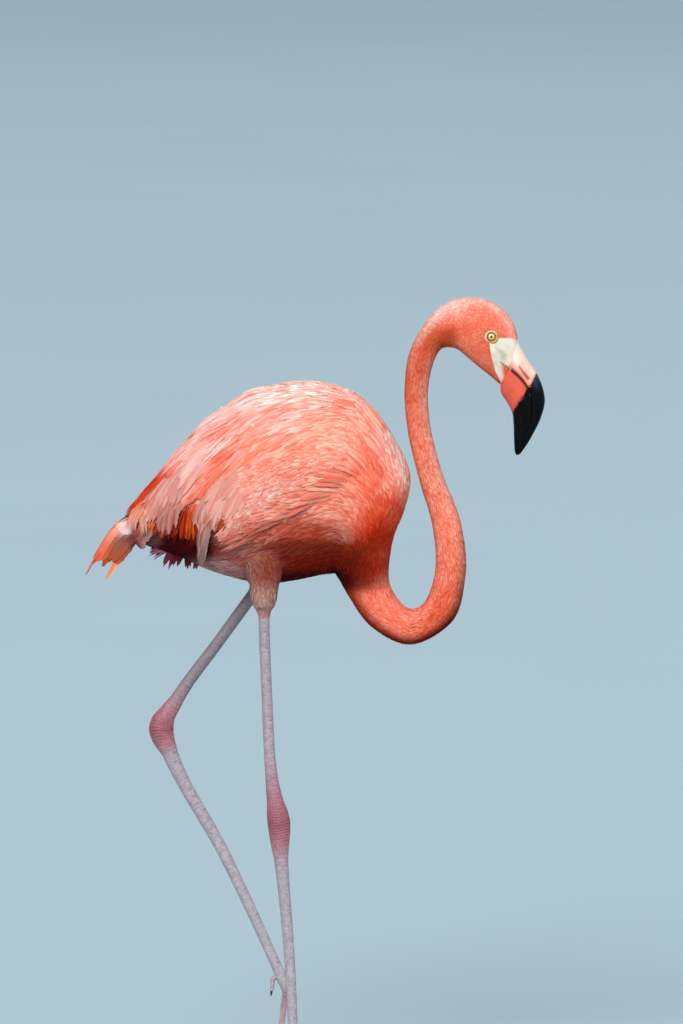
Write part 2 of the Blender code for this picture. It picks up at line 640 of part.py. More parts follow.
def build_base():
    """The stand's plate: a rounded slab with a chamfered top edge."""
    length, width, height = BASE_SIZE
    bm = bmesh.new()
    corner_steps = 7
    points = []
    for corner, (sx, sy) in enumerate(((1, 1), (-1, 1), (-1, -1), (1, -1))):
        for k in range(corner_steps + 1):
            turn = math.pi / 2 * (corner + k / corner_steps)
            points.append((sx * (length / 2 - BASE_CORNER) + BASE_CORNER * math.cos(turn),
                           sy * (width / 2 - BASE_CORNER) + BASE_CORNER * math.sin(turn)))
    outline = np.array(points)
    inset = outline * (1 - 2 * BASE_CHAMFER / np.array([length, width]))
    rings = [np.column_stack([xy, np.full(len(xy), z)]) for xy, z in
             ((outline, 0.0), (outline, height - BASE_CHAMFER), (inset, height))]
    rows = [[bm.verts.new(p) for p in ring] for ring in rings]
    for low, high in zip(rows, rows[1:]):
        for i in range(len(low)):
            j = (i + 1) % len(low)
            bm.faces.new((low[i], low[j], high[j], high[i]))
    bm.faces.new(rows[0][::-1])
    bm.faces.new(rows[-1])
    return put_in_scene("stand_base", bm, "base")


def build_floor_box():
    """A cutter that fills everything under the right foot's soles."""
    bm = bmesh.new()
    bmesh.ops.create_cube(bm, size=1.0)
    bmesh.ops.scale(bm, verts=bm.verts, vec=(400.0, 400.0, 60.0))
    bmesh.ops.translate(bm, verts=bm.verts, vec=(0, 0, FLOOR + GAP - 30.0))
    return helper(put_in_scene("sole_cutter", bm, "base"))


def main():
    """Build every piece of the model."""
    clear_scene()
    body = build_body()
    build_bill()
    build_eyes(body["head"])
    keepout = helper(loft("trunk_keepout", body_rings(0, BODY_CUTS[1], 1.3, BODY_SIDES["trunk"], GAP * 1.6), "coral plumage"))
    build_wings(keepout)
    build_tail(keepout)
    floor_box = build_floor_box()
    for side in ("right", "left"):
        build_leg(side, keepout)
        build_foot(side, floor_box)
    build_base()


main()
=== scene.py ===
"""An adult American flamingo, walking, as a still life-size museum model on a flat base.

The model's frame has +Z up, the bird faces +X and its right side is towards -Y. Lengths in this file
are in millimetres and turn to metres when a mesh is made. One skin covers trunk, neck and head, and
the plumage lies on it as solid vanes: each follows the surface's own two coordinates from its root to
its tip, sinks at the root by the coat's depth and ends level with the outline of the solids.
"""

from __future__ import annotations

import logging
import math
from collections.abc import Callable
from dataclasses import dataclass, field
from enum import Enum

import bpy
import numpy as np
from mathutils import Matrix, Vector
from numpy.typing import NDArray

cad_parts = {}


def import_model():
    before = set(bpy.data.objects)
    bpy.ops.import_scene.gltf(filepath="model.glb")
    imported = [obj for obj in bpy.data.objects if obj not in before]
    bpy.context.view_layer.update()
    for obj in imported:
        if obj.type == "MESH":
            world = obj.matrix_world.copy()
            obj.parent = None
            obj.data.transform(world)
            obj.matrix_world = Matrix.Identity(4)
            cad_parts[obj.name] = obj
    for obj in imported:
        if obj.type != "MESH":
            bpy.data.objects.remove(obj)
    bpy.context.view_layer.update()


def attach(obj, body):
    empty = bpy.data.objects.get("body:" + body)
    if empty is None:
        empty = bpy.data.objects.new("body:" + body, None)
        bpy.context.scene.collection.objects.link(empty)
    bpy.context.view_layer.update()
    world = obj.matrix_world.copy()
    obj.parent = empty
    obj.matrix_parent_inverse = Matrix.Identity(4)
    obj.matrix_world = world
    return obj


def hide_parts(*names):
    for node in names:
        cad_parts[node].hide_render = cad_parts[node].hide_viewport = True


Array = NDArray[np.float64]
Material = bpy.types.Material
MM = 0.001
EDGE_POWER = 2.2  # roundness of the body's sections; 2 is an ellipse
BILL_WAY = (0.842, -0.540)  # direction in which the bill leaves the head, seen from the side
BILL_ROOT = (217, 827)  # X and Z of the middle of the bill's root
log = logging.getLogger("flamingo")


class Side(Enum):
    """The two sides of the bird, with the sign of Y on each."""

    RIGHT = -1.0
    LEFT = 1.0

    @property
    def label(self) -> str:
        """Name of the side as the solids write it."""
        return self.name.lower()


def linear(code: str) -> Array:
    """Turn an sRGB hex colour into linear light.

    Args:
        code: Six hex digits.

    Returns:
        Red, green and blue from 0 to 1.
    """
    srgb = np.array([int(code[i:i + 2], 16) / 255 for i in (0, 2, 4)])
    return np.where(srgb <= 0.04045, srgb / 12.92, ((srgb + 0.055) / 1.055) ** 2.4)


def blend(base: Array, colour: Array | str, share: Array) -> Array:
    """Mix a colour into another: the base times one less the share, plus the colour times the share.

    Args:
        base: Colours under it, with red, green and blue last.
        colour: One hex colour or colours of the same shape.
        share: How much of the colour shows, without the axis of red, green and blue.

    Returns:
        The mixed colours.
    """
    over = linear(colour) if isinstance(colour, str) else colour
    return base * (1 - share[..., None]) + over * share[..., None]


def every(size: float) -> float:
    """Scale of a pattern whose features stand a size in mm apart."""
    return 1 / (size * MM)


def fill(node: bpy.types.Node, inputs: dict) -> None:
    """Link or set the inputs of a shader node.

    Args:
        node: The node.
        inputs: Inputs by name or number. A socket is linked, a node is linked by its first output, a
            hex colour is turned to linear, and anything else is set as the value.
    """
    tree = node.id_data
    for key, value in inputs.items():
        if isinstance(value, bpy.types.Node):
            value = value.outputs[0]
        if isinstance(value, bpy.types.NodeSocket):
            tree.links.new(value, node.inputs[key])
        elif isinstance(value, str):
            node.inputs[key].default_value = (*linear(value), 1.0)
        else:
            node.inputs[key].default_value = value


def add_node(tree: bpy.types.NodeTree, kind: str, settings: dict | None = None,
             inputs: dict | None = None) -> bpy.types.Node:
    """Add one shader node with its settings and its inputs.

    Args:
        tree: Node tree that the node joins.
        kind: Node type without its first word, such as "Math" for ShaderNodeMath.
        settings: Attributes of the node.
        inputs: Inputs as fill takes them.

    Returns:
        The new node.
    """
    node = tree.nodes.new("ShaderNode" + kind)
    for key, value in (settings or {}).items():
        setattr(node, key, value)
    fill(node, inputs or {})
    return node


def circle(count: int) -> Array:
    """Even turns round a circle, in radians."""
    return np.linspace(0, math.tau, count, endpoint=False)


def smooth(value: Array) -> Array:
    """Ease from 0 to 1: the cubic 3t^2 - 2t^3 of the value held between 0 and 1."""
    t = np.clip(value, 0.0, 1.0)
    return t * t * (3 - 2 * t)


def spline(keys: Array, t: Array) -> Array:
    """Smooth curve through rows of keys, as a cubic Hermite curve with slopes for uneven rows.

    Args:
        keys: One row per key.
        t: Places counted in rows, of any shape.

    Returns:
        Values of the same shape as t with the row's columns added.
    """
    keys = np.asarray(keys, float)
    t = np.asarray(t, float)
    gaps = np.linalg.norm(np.diff(keys, axis=0), axis=1).clip(1e-6)[:, None]
    slopes = np.diff(keys, axis=0) / gaps
    inner = (slopes[:-1] * gaps[1:] + slopes[1:] * gaps[:-1]) / (gaps[:-1] + gaps[1:])
    tangents = np.vstack([slopes[:1] * 1.5 - inner[:1] * 0.5, inner, slopes[-1:] * 1.5 - inner[-1:] * 0.5])
    i = np.clip(np.floor(t).astype(int), 0, len(keys) - 2)
    f = (t - i)[..., None]
    return ((2 * f**3 - 3 * f**2 + 1) * keys[i] + (f**3 - 2 * f**2 + f) * tangents[i] * gaps[i]
            + (3 * f**2 - 2 * f**3) * keys[i + 1] + (f**3 - f**2) * tangents[i + 1] * gaps[i])


def superellipse(turn: Array) -> tuple[Array, Array]:
    """Unit section at an angle: cosine and sine, each with its size raised to 2 over the edge power."""
    return tuple(np.sign(part) * np.abs(part) ** (2 / EDGE_POWER) for part in (np.cos(turn), np.sin(turn)))


def along_bill(x: Array, z: Array, start: tuple[float, float]) -> Array:
    """Distance in mm beyond a point, along the direction in which the bill leaves the head."""
    return (x - start[0]) * BILL_WAY[0] + (z - start[1]) * BILL_WAY[1]


def tilted(angle: float) -> Array:
    """Matrix that turns by an angle in radians about Y, from Z towards X."""
    c, s = math.cos(angle), math.sin(angle)
    return np.array([[c, 0, s], [0, 1, 0], [-s, 0, c]])


def bundles(rows: tuple) -> tuple[Array, Array]:
    """Repeat the row of each bundle of feathers by its count.

    Args:
        rows: Each bundle's measures, then its count and its hex colour.

    Returns:
        The measures, a line per measure, and the colours, a row per feather.
    """
    counts = [row[-2] for row in rows]
    return (np.repeat(np.array([row[:-2] for row in rows], float), counts, axis=0).T,
            np.repeat(np.array([linear(row[-1]) for row in rows]), counts, axis=0))


def grid_faces(rows: int, columns: int) -> Array:
    """Four-sided faces of a grid of points, joined round its columns.

    Args:
        rows: Number of rings.
        columns: Points on each ring.

    Returns:
        Four point numbers for each face.
    """
    index = np.arange(rows * columns).reshape(rows, columns)
    index = np.hstack([index, index[:, :1]])
    return np.stack([index[:-1, :-1], index[:-1, 1:], index[1:, 1:], index[1:, :-1]], axis=-1).reshape(-1, 4)


@dataclass
class Surface:
    """A mesh in the making: points in mm, faces in groups of equal size and values at the points."""

    points: Array
    faces: list[Array]
    values: dict[str, Array] = field(default_factory=dict)
    chart: Array | None = None
    normals: Array | None = None

    @staticmethod
    def tube(rings: Array, values: dict[str, Array] | None = None) -> Surface:
        """Close a stack of rings: faces between neighbours, and a fan to the mean point at each end.

        Args:
            rings: Points by ring and by place round it.
            values: Values at those points, by name.

        Returns:
            The closed surface.
        """
        rows, columns = rings.shape[:2]
        points = np.vstack([rings.reshape(-1, 3), rings[0].mean(0), rings[-1].mean(0)])
        ring = np.arange(columns)
        start = np.stack([np.roll(ring, -1), ring, np.full(columns, rows * columns)], axis=1)
        last = ring + (rows - 1) * columns
        end = np.stack([last, np.roll(last, -1), np.full(columns, rows * columns + 1)], axis=1)
        held = {}
        for name, value in (values or {}).items():
            flat = value.reshape(rows * columns, -1)
            held[name] = np.vstack([flat, flat[:1], flat[-1:]]).squeeze()
        return Surface(points, [grid_faces(rows, columns), start, end], held)

    @staticmethod
    def joined(parts: list[Surface]) -> Surface:
        """Several surfaces as one, with their values side by side.

        Args:
            parts: Surfaces that all carry the same values.

        Returns:
            The joined surface.
        """
        shifts = np.cumsum([0] + [len(part.points) for part in parts])
        faces = [face + shift for part, shift in zip(parts, shifts) for face in part.faces]
        values = {name: np.concatenate([part.values[name] for part in parts]) for name in parts[0].values}
        more = [None if getattr(parts[0], name) is None
                else np.concatenate([getattr(part, name) for part in parts]) for name in ("chart", "normals")]
        return Surface(np.concatenate([part.points for part in parts]), faces, values, *more)

    def make(self, name: str, material: Material) -> bpy.types.Object:
        """Put the mesh in the scene, with its faces outward: their signed volume comes out positive.

        Args:
            name: Name of the object and its mesh.
            material: Finish of every face.

        Returns:
            The new object, at the origin.
        """
        volume = 0.0
        for group in self.faces:
            corner = self.points[group]
            for k in range(1, group.shape[1] - 1):
                volume += (corner[:, 0] * np.cross(corner[:, k], corner[:, k + 1])).sum()
        groups = [group if volume > 0 else group[:, ::-1] for group in self.faces]
        loops = np.concatenate([group.ravel() for group in groups])
        sizes = np.concatenate([np.full(len(group), group.shape[1]) for group in groups])
        mesh = bpy.data.meshes.new(name)
        mesh.vertices.add(len(self.points))
        mesh.vertices.foreach_set("co", (self.points * MM).ravel())
        mesh.loops.add(len(loops))
        mesh.loops.foreach_set("vertex_index", loops)
        mesh.polygons.add(len(sizes))
        mesh.polygons.foreach_set("loop_start", np.concatenate([[0], np.cumsum(sizes)[:-1]]))
        mesh.update(calc_edges=True)
        for key, value in self.values.items():
            if value.ndim == 2:
                layer = mesh.attributes.new(key, "FLOAT_COLOR", "POINT")
                layer.data.foreach_set("color", np.column_stack([value, np.ones(len(value))]).ravel())
            else:
                mesh.attributes.new(key, "FLOAT", "POINT").data.foreach_set("value", value.ravel())
        if self.chart is not None:
            mesh.uv_layers.new(name="OFBake").uv.foreach_set("vector", self.chart[loops].ravel())
        mesh.shade_smooth()
        if self.normals is not None:
            mesh.normals_split_custom_set_from_vertices(self.normals)
        mesh.materials.append(material)
        made = bpy.data.objects.new(name, mesh)
        bpy.context.scene.collection.objects.link(made)
        log.info("%s: %d triangles", name, int((sizes - 2).sum()))
        return made


@dataclass(frozen=True)
class Frame:
    """A surface at some points: place, unit directions of both coordinates, their pace and outward."""

    place: Array
    along: Array
    around: Array
    pace_a: Array
    pace_b: Array
    outward: Array


class Form:
    """A surface with two coordinates, a against the lie of the feathers and b across it."""

    hand: float = 1.0
    step_a: float = 0.03
    step_b: float = 0.004
    reach_a: tuple = (0.0, 31.0)
    reach_b: tuple = (-1.0, 2.0)

    def point(self, a: Array, b: Array) -> Array:
        """Point of the surface in mm."""
        raise NotImplementedError

    def frame(self, a: Array, b: Array) -> Frame:
        """Measure the surface by small differences; outward is across times along.

        Args:
            a: First coordinate of each point.
            b: Second coordinate of each point.

        Returns:
            The surface at those points.
        """
        pa = (self.point(a + self.step_a, b) - self.point(a - self.step_a, b)) / (2 * self.step_a)
        pb = (self.point(a, b + self.step_b) - self.point(a, b - self.step_b)) / (2 * self.step_b)
        la = np.linalg.norm(pa, axis=-1).clip(1e-6)
        lb = np.linalg.norm(pb, axis=-1).clip(1e-6)
        out = self.hand * np.cross(pb, pa)
        out /= np.linalg.norm(out, axis=-1, keepdims=True).clip(1e-9)
        return Frame(self.point(a, b), pa / la[..., None], pb / lb[..., None], la, lb, out)

    def lifted(self, a: Array, b: Array, lift: Array | float) -> Array:
        """Point of the surface moved out by lift mm."""
        frame = self.frame(a, b)
        return frame.place + frame.outward * np.asarray(lift, float)[..., None]

    def lie(self, a: Array, b: Array) -> Array:
        """Turn of the feathers from the a direction, in radians."""
        return np.zeros_like(a)

    def chart(self, a: Array, b: Array) -> tuple[Array, Array]:
        """Both coordinates as shares of the form's whole reach: its unwrap."""
        return tuple(np.clip((value - low) / (high - low), 0, 1)
                     for value, (low, high) in ((a, self.reach_a), (b, self.reach_b)))


@dataclass
class BodyForm(Form):
    """Trunk, neck and head as one loft of superelliptic sections, counted from rump to bill.

    A section of trunk or head runs from a point on the back line to one on the belly line and has a half
    width; one of the neck has a centre, a half depth and a half width. a is the section's number, and b
    the turn round it, from 0 at the left side over a quarter at the back line.
    """

    trunk: tuple = (
        ((-190, 655), (-188, 631), 13), ((-170, 683), (-170, 623), 30), ((-144, 714), (-144, 615), 50),
        ((-118, 742), (-118, 603), 64), ((-91, 767), (-91, 594), 73), ((-65, 790), (-65, 588), 78),
        ((-38, 803), (-38, 587), 81), ((-12, 807), (-12, 591), 83), ((14, 805), (12, 596), 83),
        ((41, 797), (20, 598), 81), ((67, 778), (24, 597.5), 76), ((93, 742), (25.5, 597), 68),
        ((108.5, 702), (26.5, 596), 58), ((102, 668), (27, 594.5), 48), ((90, 637), (28, 592), 39),
        ((85, 608), (31, 588), 31))
    neck: tuple = (
        ((63, 580), 24.0, 25.0), ((78, 555), 21.5, 21.5), ((108, 537.5), 19.8, 19.5),
        ((139, 554), 18.7, 18.0), ((152, 595), 17.1, 16.5), ((148.5, 649), 15.8, 15.0),
        ((130, 706), 13.4, 13.2), ((117, 762), 12.9, 12.6), ((115, 805), 13.2, 12.6),
        ((122.5, 841), 14.6, 13.4))
    head: tuple = (
        ((126.5, 876), (145, 846), 15.5), ((147, 894.5), (158, 845), 19.5),
        ((174, 901), (169.5, 836.5), 21.5), ((200, 894.5), (183, 825), 20.5),
        ((218, 878), (195, 815.5), 17.5), ((227.5, 849.5), (206.8, 805), 14.0))
    head_span: tuple[float, float] = (26.4, 31.0)
    rows: Array = field(init=False)

    def __post_init__(self) -> None:
        """Lay out every section: those of the neck stand square to its centre line."""
        rows = [(*back, *belly, half) for back, belly, half in self.trunk]
        line = np.vstack([np.mean(self.trunk[-1][:2], axis=0), [row[0] for row in self.neck],
                          np.mean(self.head[0][:2], axis=0)]).astype(float)
        ahead = line[2:] - line[:-2]
        ahead /= np.linalg.norm(ahead, axis=1)[:, None]
        for centre, way, (_, depth, half) in zip(line[1:-1], ahead, self.neck):
            off = depth * np.array([-way[1], way[0]])
            rows.append((*(centre + off), *(centre - off), half))
        rows += [(*back, *belly, half) for back, belly, half in self.head]
        self.rows = np.array(rows, float)

    def point(self, a: Array, b: Array) -> Array:
        """Middle of the section plus its rise times the sine's power; half width times the cosine's."""
        middle, rise, half = self.section(a)
        across, up = superellipse(math.tau * b)
        flat = middle + rise * up[..., None]
        return np.stack([flat[..., 0], half * across, flat[..., 1]], axis=-1)

    def section(self, a: Array) -> tuple[Array, Array, Array]:
        """Middle, half the way from belly line to back line, and half width of sections."""
        read = spline(self.rows, a)
        back, belly = read[..., 0:2], read[..., 2:4]
        return (back + belly) / 2, (back - belly) / 2, read[..., 4]

    def lie(self, a: Array, b: Array) -> Array:
        """Feathers turn down by up to 20 degrees on the lower flanks and run level above."""
        return 0.35 * np.cos(math.tau * b) * smooth((a - 2) / 2) * smooth((11 - a) / 3) \
            * smooth((0.1 - np.sin(math.tau * b)) / 0.9)

    def side_of_head(self, x: Array, z: Array) -> Array:
        """Half width of the head at points of its side: the width of the nearest section at that height.

        Args:
            x: X of each point in mm.
            z: Z of each point in mm.

        Returns:
            Half the head's width there, in mm.
        """
        middle, rise, half = self.section(np.linspace(*self.head_span, 300))
        length = np.linalg.norm(rise, axis=1)
        ahead = np.column_stack([rise[:, 1], -rise[:, 0]]) / length[:, None]
        off = np.stack([x, z], axis=-1)[..., None, :] - middle
        nearest = np.argmin(np.abs((off * ahead).sum(-1)), axis=-1)
        own = np.take_along_axis(off, nearest[..., None, None], axis=-2)[..., 0, :]
        height = np.clip(np.abs((own * rise[nearest]).sum(-1) / length[nearest] ** 2), 0, 1)
        return half[nearest] * (1 - height**EDGE_POWER) ** (1 / EDGE_POWER)


@dataclass
class WingForm(Form):
    """The outer face of a closed wing.

    a is X in mm. b runs from 0 at the wing's lower edge to 1 at the ridge of the back, evenly in angle;
    near 0 and below it the surface tucks in to the flank, and its front sinks in the body's coat. A row
    of the table holds X, middle height, top, lower edge, half width and drop at the ridge.
    """

    side: Side = Side.RIGHT
    table: tuple = (
        (58, 712, 789, 742, 80, 1), (46, 706, 800, 730, 87, 1.5), (20, 702, 806.5, 716, 91, 1.2),
        (-12, 699, 809.5, 702, 92, 1.2), (-40, 695, 806, 688, 91, 1), (-65, 690, 801, 667, 87, 0.5),
        (-91, 684, 784, 640, 82, 0), (-118, 678, 766, 630, 73, 0), (-144, 668, 738, 634, 60, 0),
        (-170, 658, 705.5, 640, 45, 0), (-190, 654, 683, 644, 33, 0), (-207, 654, 662, 650, 20, 0))
    ridge_turn: float = 1.56  # turn of b = 1, just short of the quarter
    turn_limits: tuple[float, float] = (-1.45, 1.568)
    tuck: float = 9.0  # depth in mm of the lower edge under the outline
    front_sink: float = 6.0  # depth in mm of the front edge in the body's coat
    step_a: float = 1.0
    reach_a: tuple = (-215.0, 75.0)
    reach_b: tuple = (-0.5, 1.1)

    def __post_init__(self) -> None:
        """Set which way is outward."""
        self.hand = self.side.value
        self.sorted = np.asarray(sorted(self.table), float)

    def read(self, x: Array) -> Array:
        """Middle height, top, lower edge, half width and drop at the ridge at X, held at the wing's ends."""
        rows = np.interp(x, self.sorted[:, 0], np.arange(len(self.sorted)))
        return spline(self.sorted[:, 1:], rows)

    def point(self, a: Array, b: Array) -> Array:
        """Height is the middle plus the rise times a sine; width is the superellipse's at that height."""
        middle, top, lower, half, drop = np.moveaxis(self.read(a), -1, 0)
        low = np.arcsin(np.clip((lower - middle) / (top - middle), -1, 1))
        height = np.sin(np.clip(low + (self.ridge_turn - low) * b, *self.turn_limits))
        width = (1 - np.abs(height) ** EDGE_POWER).clip(0) ** (1 / EDGE_POWER)
        z = middle + (top - middle) * height - drop * smooth((height - 0.65) / 0.35)
        tuck = self.tuck * smooth((0.16 - b) / 0.34) + self.front_sink * smooth((a - 28) / 28)
        return np.stack([a * np.ones_like(b), self.side.value * (half * width - tuck), z], axis=-1)

    def across_at(self, a: Array, z: Array) -> Array:
        """The coordinate b of the face's point at a height."""
        middle, top, lower, _, _ = np.moveaxis(self.read(a), -1, 0)
        low, own = (np.arcsin(np.clip((value - middle) / (top - middle), -1, 1)) for value in (lower, z))
        return (own - low) / (self.ridge_turn - low)

    def slope(self, a: Array, b: Array) -> Array:
        """Degrees below level: -34 in front, 12 behind it, 52 at the rear; 16 more at the lower edge."""
        return 12 + 40 * smooth((30 - a) / 210) + 16 * (1 - np.clip(b, 0, 1)) - 46 * smooth((a - 8) / 50)

    def lie(self, a: Array, b: Array) -> Array:
        """Turn that gives the slope seen from the side, fading on the back's ridge."""
        frame = self.frame(a, b)
        slope = np.arctan2(frame.along[..., 2], frame.along[..., 0])
        return (np.radians(self.slope(a, b)) - slope) * np.hypot(frame.outward[..., 0], frame.outward[..., 1])


@dataclass
class TailForm(Form):
    """The upper face of the tail's fan: a is minus the share of its length, b from -1 to 1 across."""

    middle: tuple = ((-178, 654), (-199, 659), (-217, 650), (-234, 626), (-247, 602))
    edge: tuple = ((-180, 641), (-192, 636), (-203, 628), (-213, 615), (-221, 600))
    spread: tuple = ((0.0, 0.3, 0.45, 0.75, 1.0), (11.0, 15.0, 27.0, 40.0, 45.0))
    droop_power: float = 1.7
    hand: float = -1.0
    step_a: float = 0.01
    step_b: float = 0.01
    reach_a: tuple = (-1.0, 0.05)
    reach_b: tuple = (-1.0, 1.0)

    def point(self, a: Array, b: Array) -> Array:
        """Blend of the middle line and the edge line by the droop power of the place across."""
        share, t = np.abs(b)[..., None] ** self.droop_power, -a * (len(self.middle) - 1)
        flat = spline(self.middle, t) * (1 - share) + spline(self.edge, t) * share
        half = np.interp(-a, *self.spread)
        return np.stack([flat[..., 0], half * b, flat[..., 1]], axis=-1)


@dataclass
class SheetForm(Form):
    """A flat upright sheet at one distance from the middle: a is X and b is Z in mm."""

    out: float = -14.0
    step_a: float = 1.0
    step_b: float = 1.0
    reach_a: tuple = (-250.0, 0.0)
    reach_b: tuple = (560.0, 700.0)

    def __post_init__(self) -> None:
        """Set which way is outward."""
        self.hand = math.copysign(1.0, self.out)

    def point(self, a: Array, b: Array) -> Array:
        """The point at X and Z on the sheet."""
        return np.stack([a + 0 * b, self.out + 0 * (a + b), b + 0 * a], axis=-1)


@dataclass
class LegForm(Form):
    """One leg from the knee to the toes' root: a is minus the place on its line, b the turn round it.

    Sizes hold a place on the line with the half depth and half width there.
    """

    side: Side = Side.RIGHT
    lines: dict = field(default_factory=lambda: {
        Side.RIGHT: ((-52, -40, 618), (-52.5, -40, 561), (-49.5, -37, 468), (-44, -35, 372),
                     (-37.4, -33, 324), (-34, -32, 284), (-26, -28, 190), (-19, -24, 28)),
        Side.LEFT: ((-28, 40, 620), (-60, 40, 576), (-104, 39.5, 515.5), (-149, 38.5, 453),
                    (-167, 38, 419), (-157, 37.5, 391), (-99, 37, 282), (-31.4, 36, 135))})
    sizes: tuple = (
        (0.0, 27, 24), (0.25, 21, 20), (0.5, 16.5, 16.5), (0.8, 14.2, 13.8), (0.93, 12, 11.4),
        (1.0, 8.4, 7.6), (1.06, 6.3, 5.8), (2.0, 6.1, 5.2), (2.7, 6.4, 5.4), (3.0, 7.2, 6.2),
        (3.5, 9.6, 8.2), (3.75, 12.2, 9.6), (4.0, 13.2, 10.2), (4.35, 12.0, 9.8), (4.7, 10.0, 8.6),
        (5.0, 8.2, 7.3), (5.3, 7.0, 6.2), (6.0, 6.2, 5.2), (6.8, 5.4, 4.9), (7.0, 5.8, 5.6))
    step_a: float = 0.01
    reach_a: tuple = (-1.1, 0.6)

    @property
    def line(self) -> Array:
        """Middle line of this side's leg."""
        return np.array(self.lines[self.side], float)

    def point(self, a: Array, b: Array) -> Array:
        """Middle line plus the oval section's depth and width, square to the line.

        The standing leg is a little slimmer than the table, with its ankle's knob set forward by 1 mm;
        the lifted leg is a little fuller.

        Args:
            a: Minus the place on the line.
            b: Turn round the line, from 0 to 1.

        Returns:
            Points in mm.
        """
        fullness, offset = (0.97, 1.0) if self.side is Side.RIGHT else (1.06, 0.0)
        t = -a * np.ones_like(b)
        centre = spline(self.line, t)
        ahead = spline(self.line, t + 0.02) - spline(self.line, t - 0.02)
        ahead /= np.linalg.norm(ahead, axis=-1, keepdims=True)
        side = np.array([0.0, 1.0, 0.0]) - ahead[..., 1:2] * ahead
        side /= np.linalg.norm(side, axis=-1, keepdims=True)
        normal = np.cross(side, ahead)
        table = np.array(self.sizes, float)
        depth = np.interp(t, table[:, 0], table[:, 1]) * fullness
        width = np.interp(t, table[:, 0], table[:, 2])
        knob = np.exp(-((t - 4) / 0.5) ** 2) * offset
        turn = math.tau * b
        return (centre + side * (width * np.cos(turn))[..., None]
                + normal * (depth * np.sin(turn) - knob)[..., None])


@dataclass(frozen=True)
class Patch:
    """A soft-edged oval of colour seen from the side: centre, radii and lean in mm and degrees."""

    centre: tuple[float, float]
    radii: tuple[float, float]
    lean: float
    colour: str
    strength: float = 1.0

    def weight(self, x: Array, z: Array) -> Array:
        """Full inside 0.45 of the oval's radii, easing to nothing at 1.15 of them."""
        c, s = math.cos(math.radians(self.lean)), math.sin(math.radians(self.lean))
        dx, dz = x - self.centre[0], z - self.centre[1]
        far = np.hypot((c * dx + s * dz) / self.radii[0], (-s * dx + c * dz) / self.radii[1])
        return self.strength * smooth((1.15 - far) / 0.7)


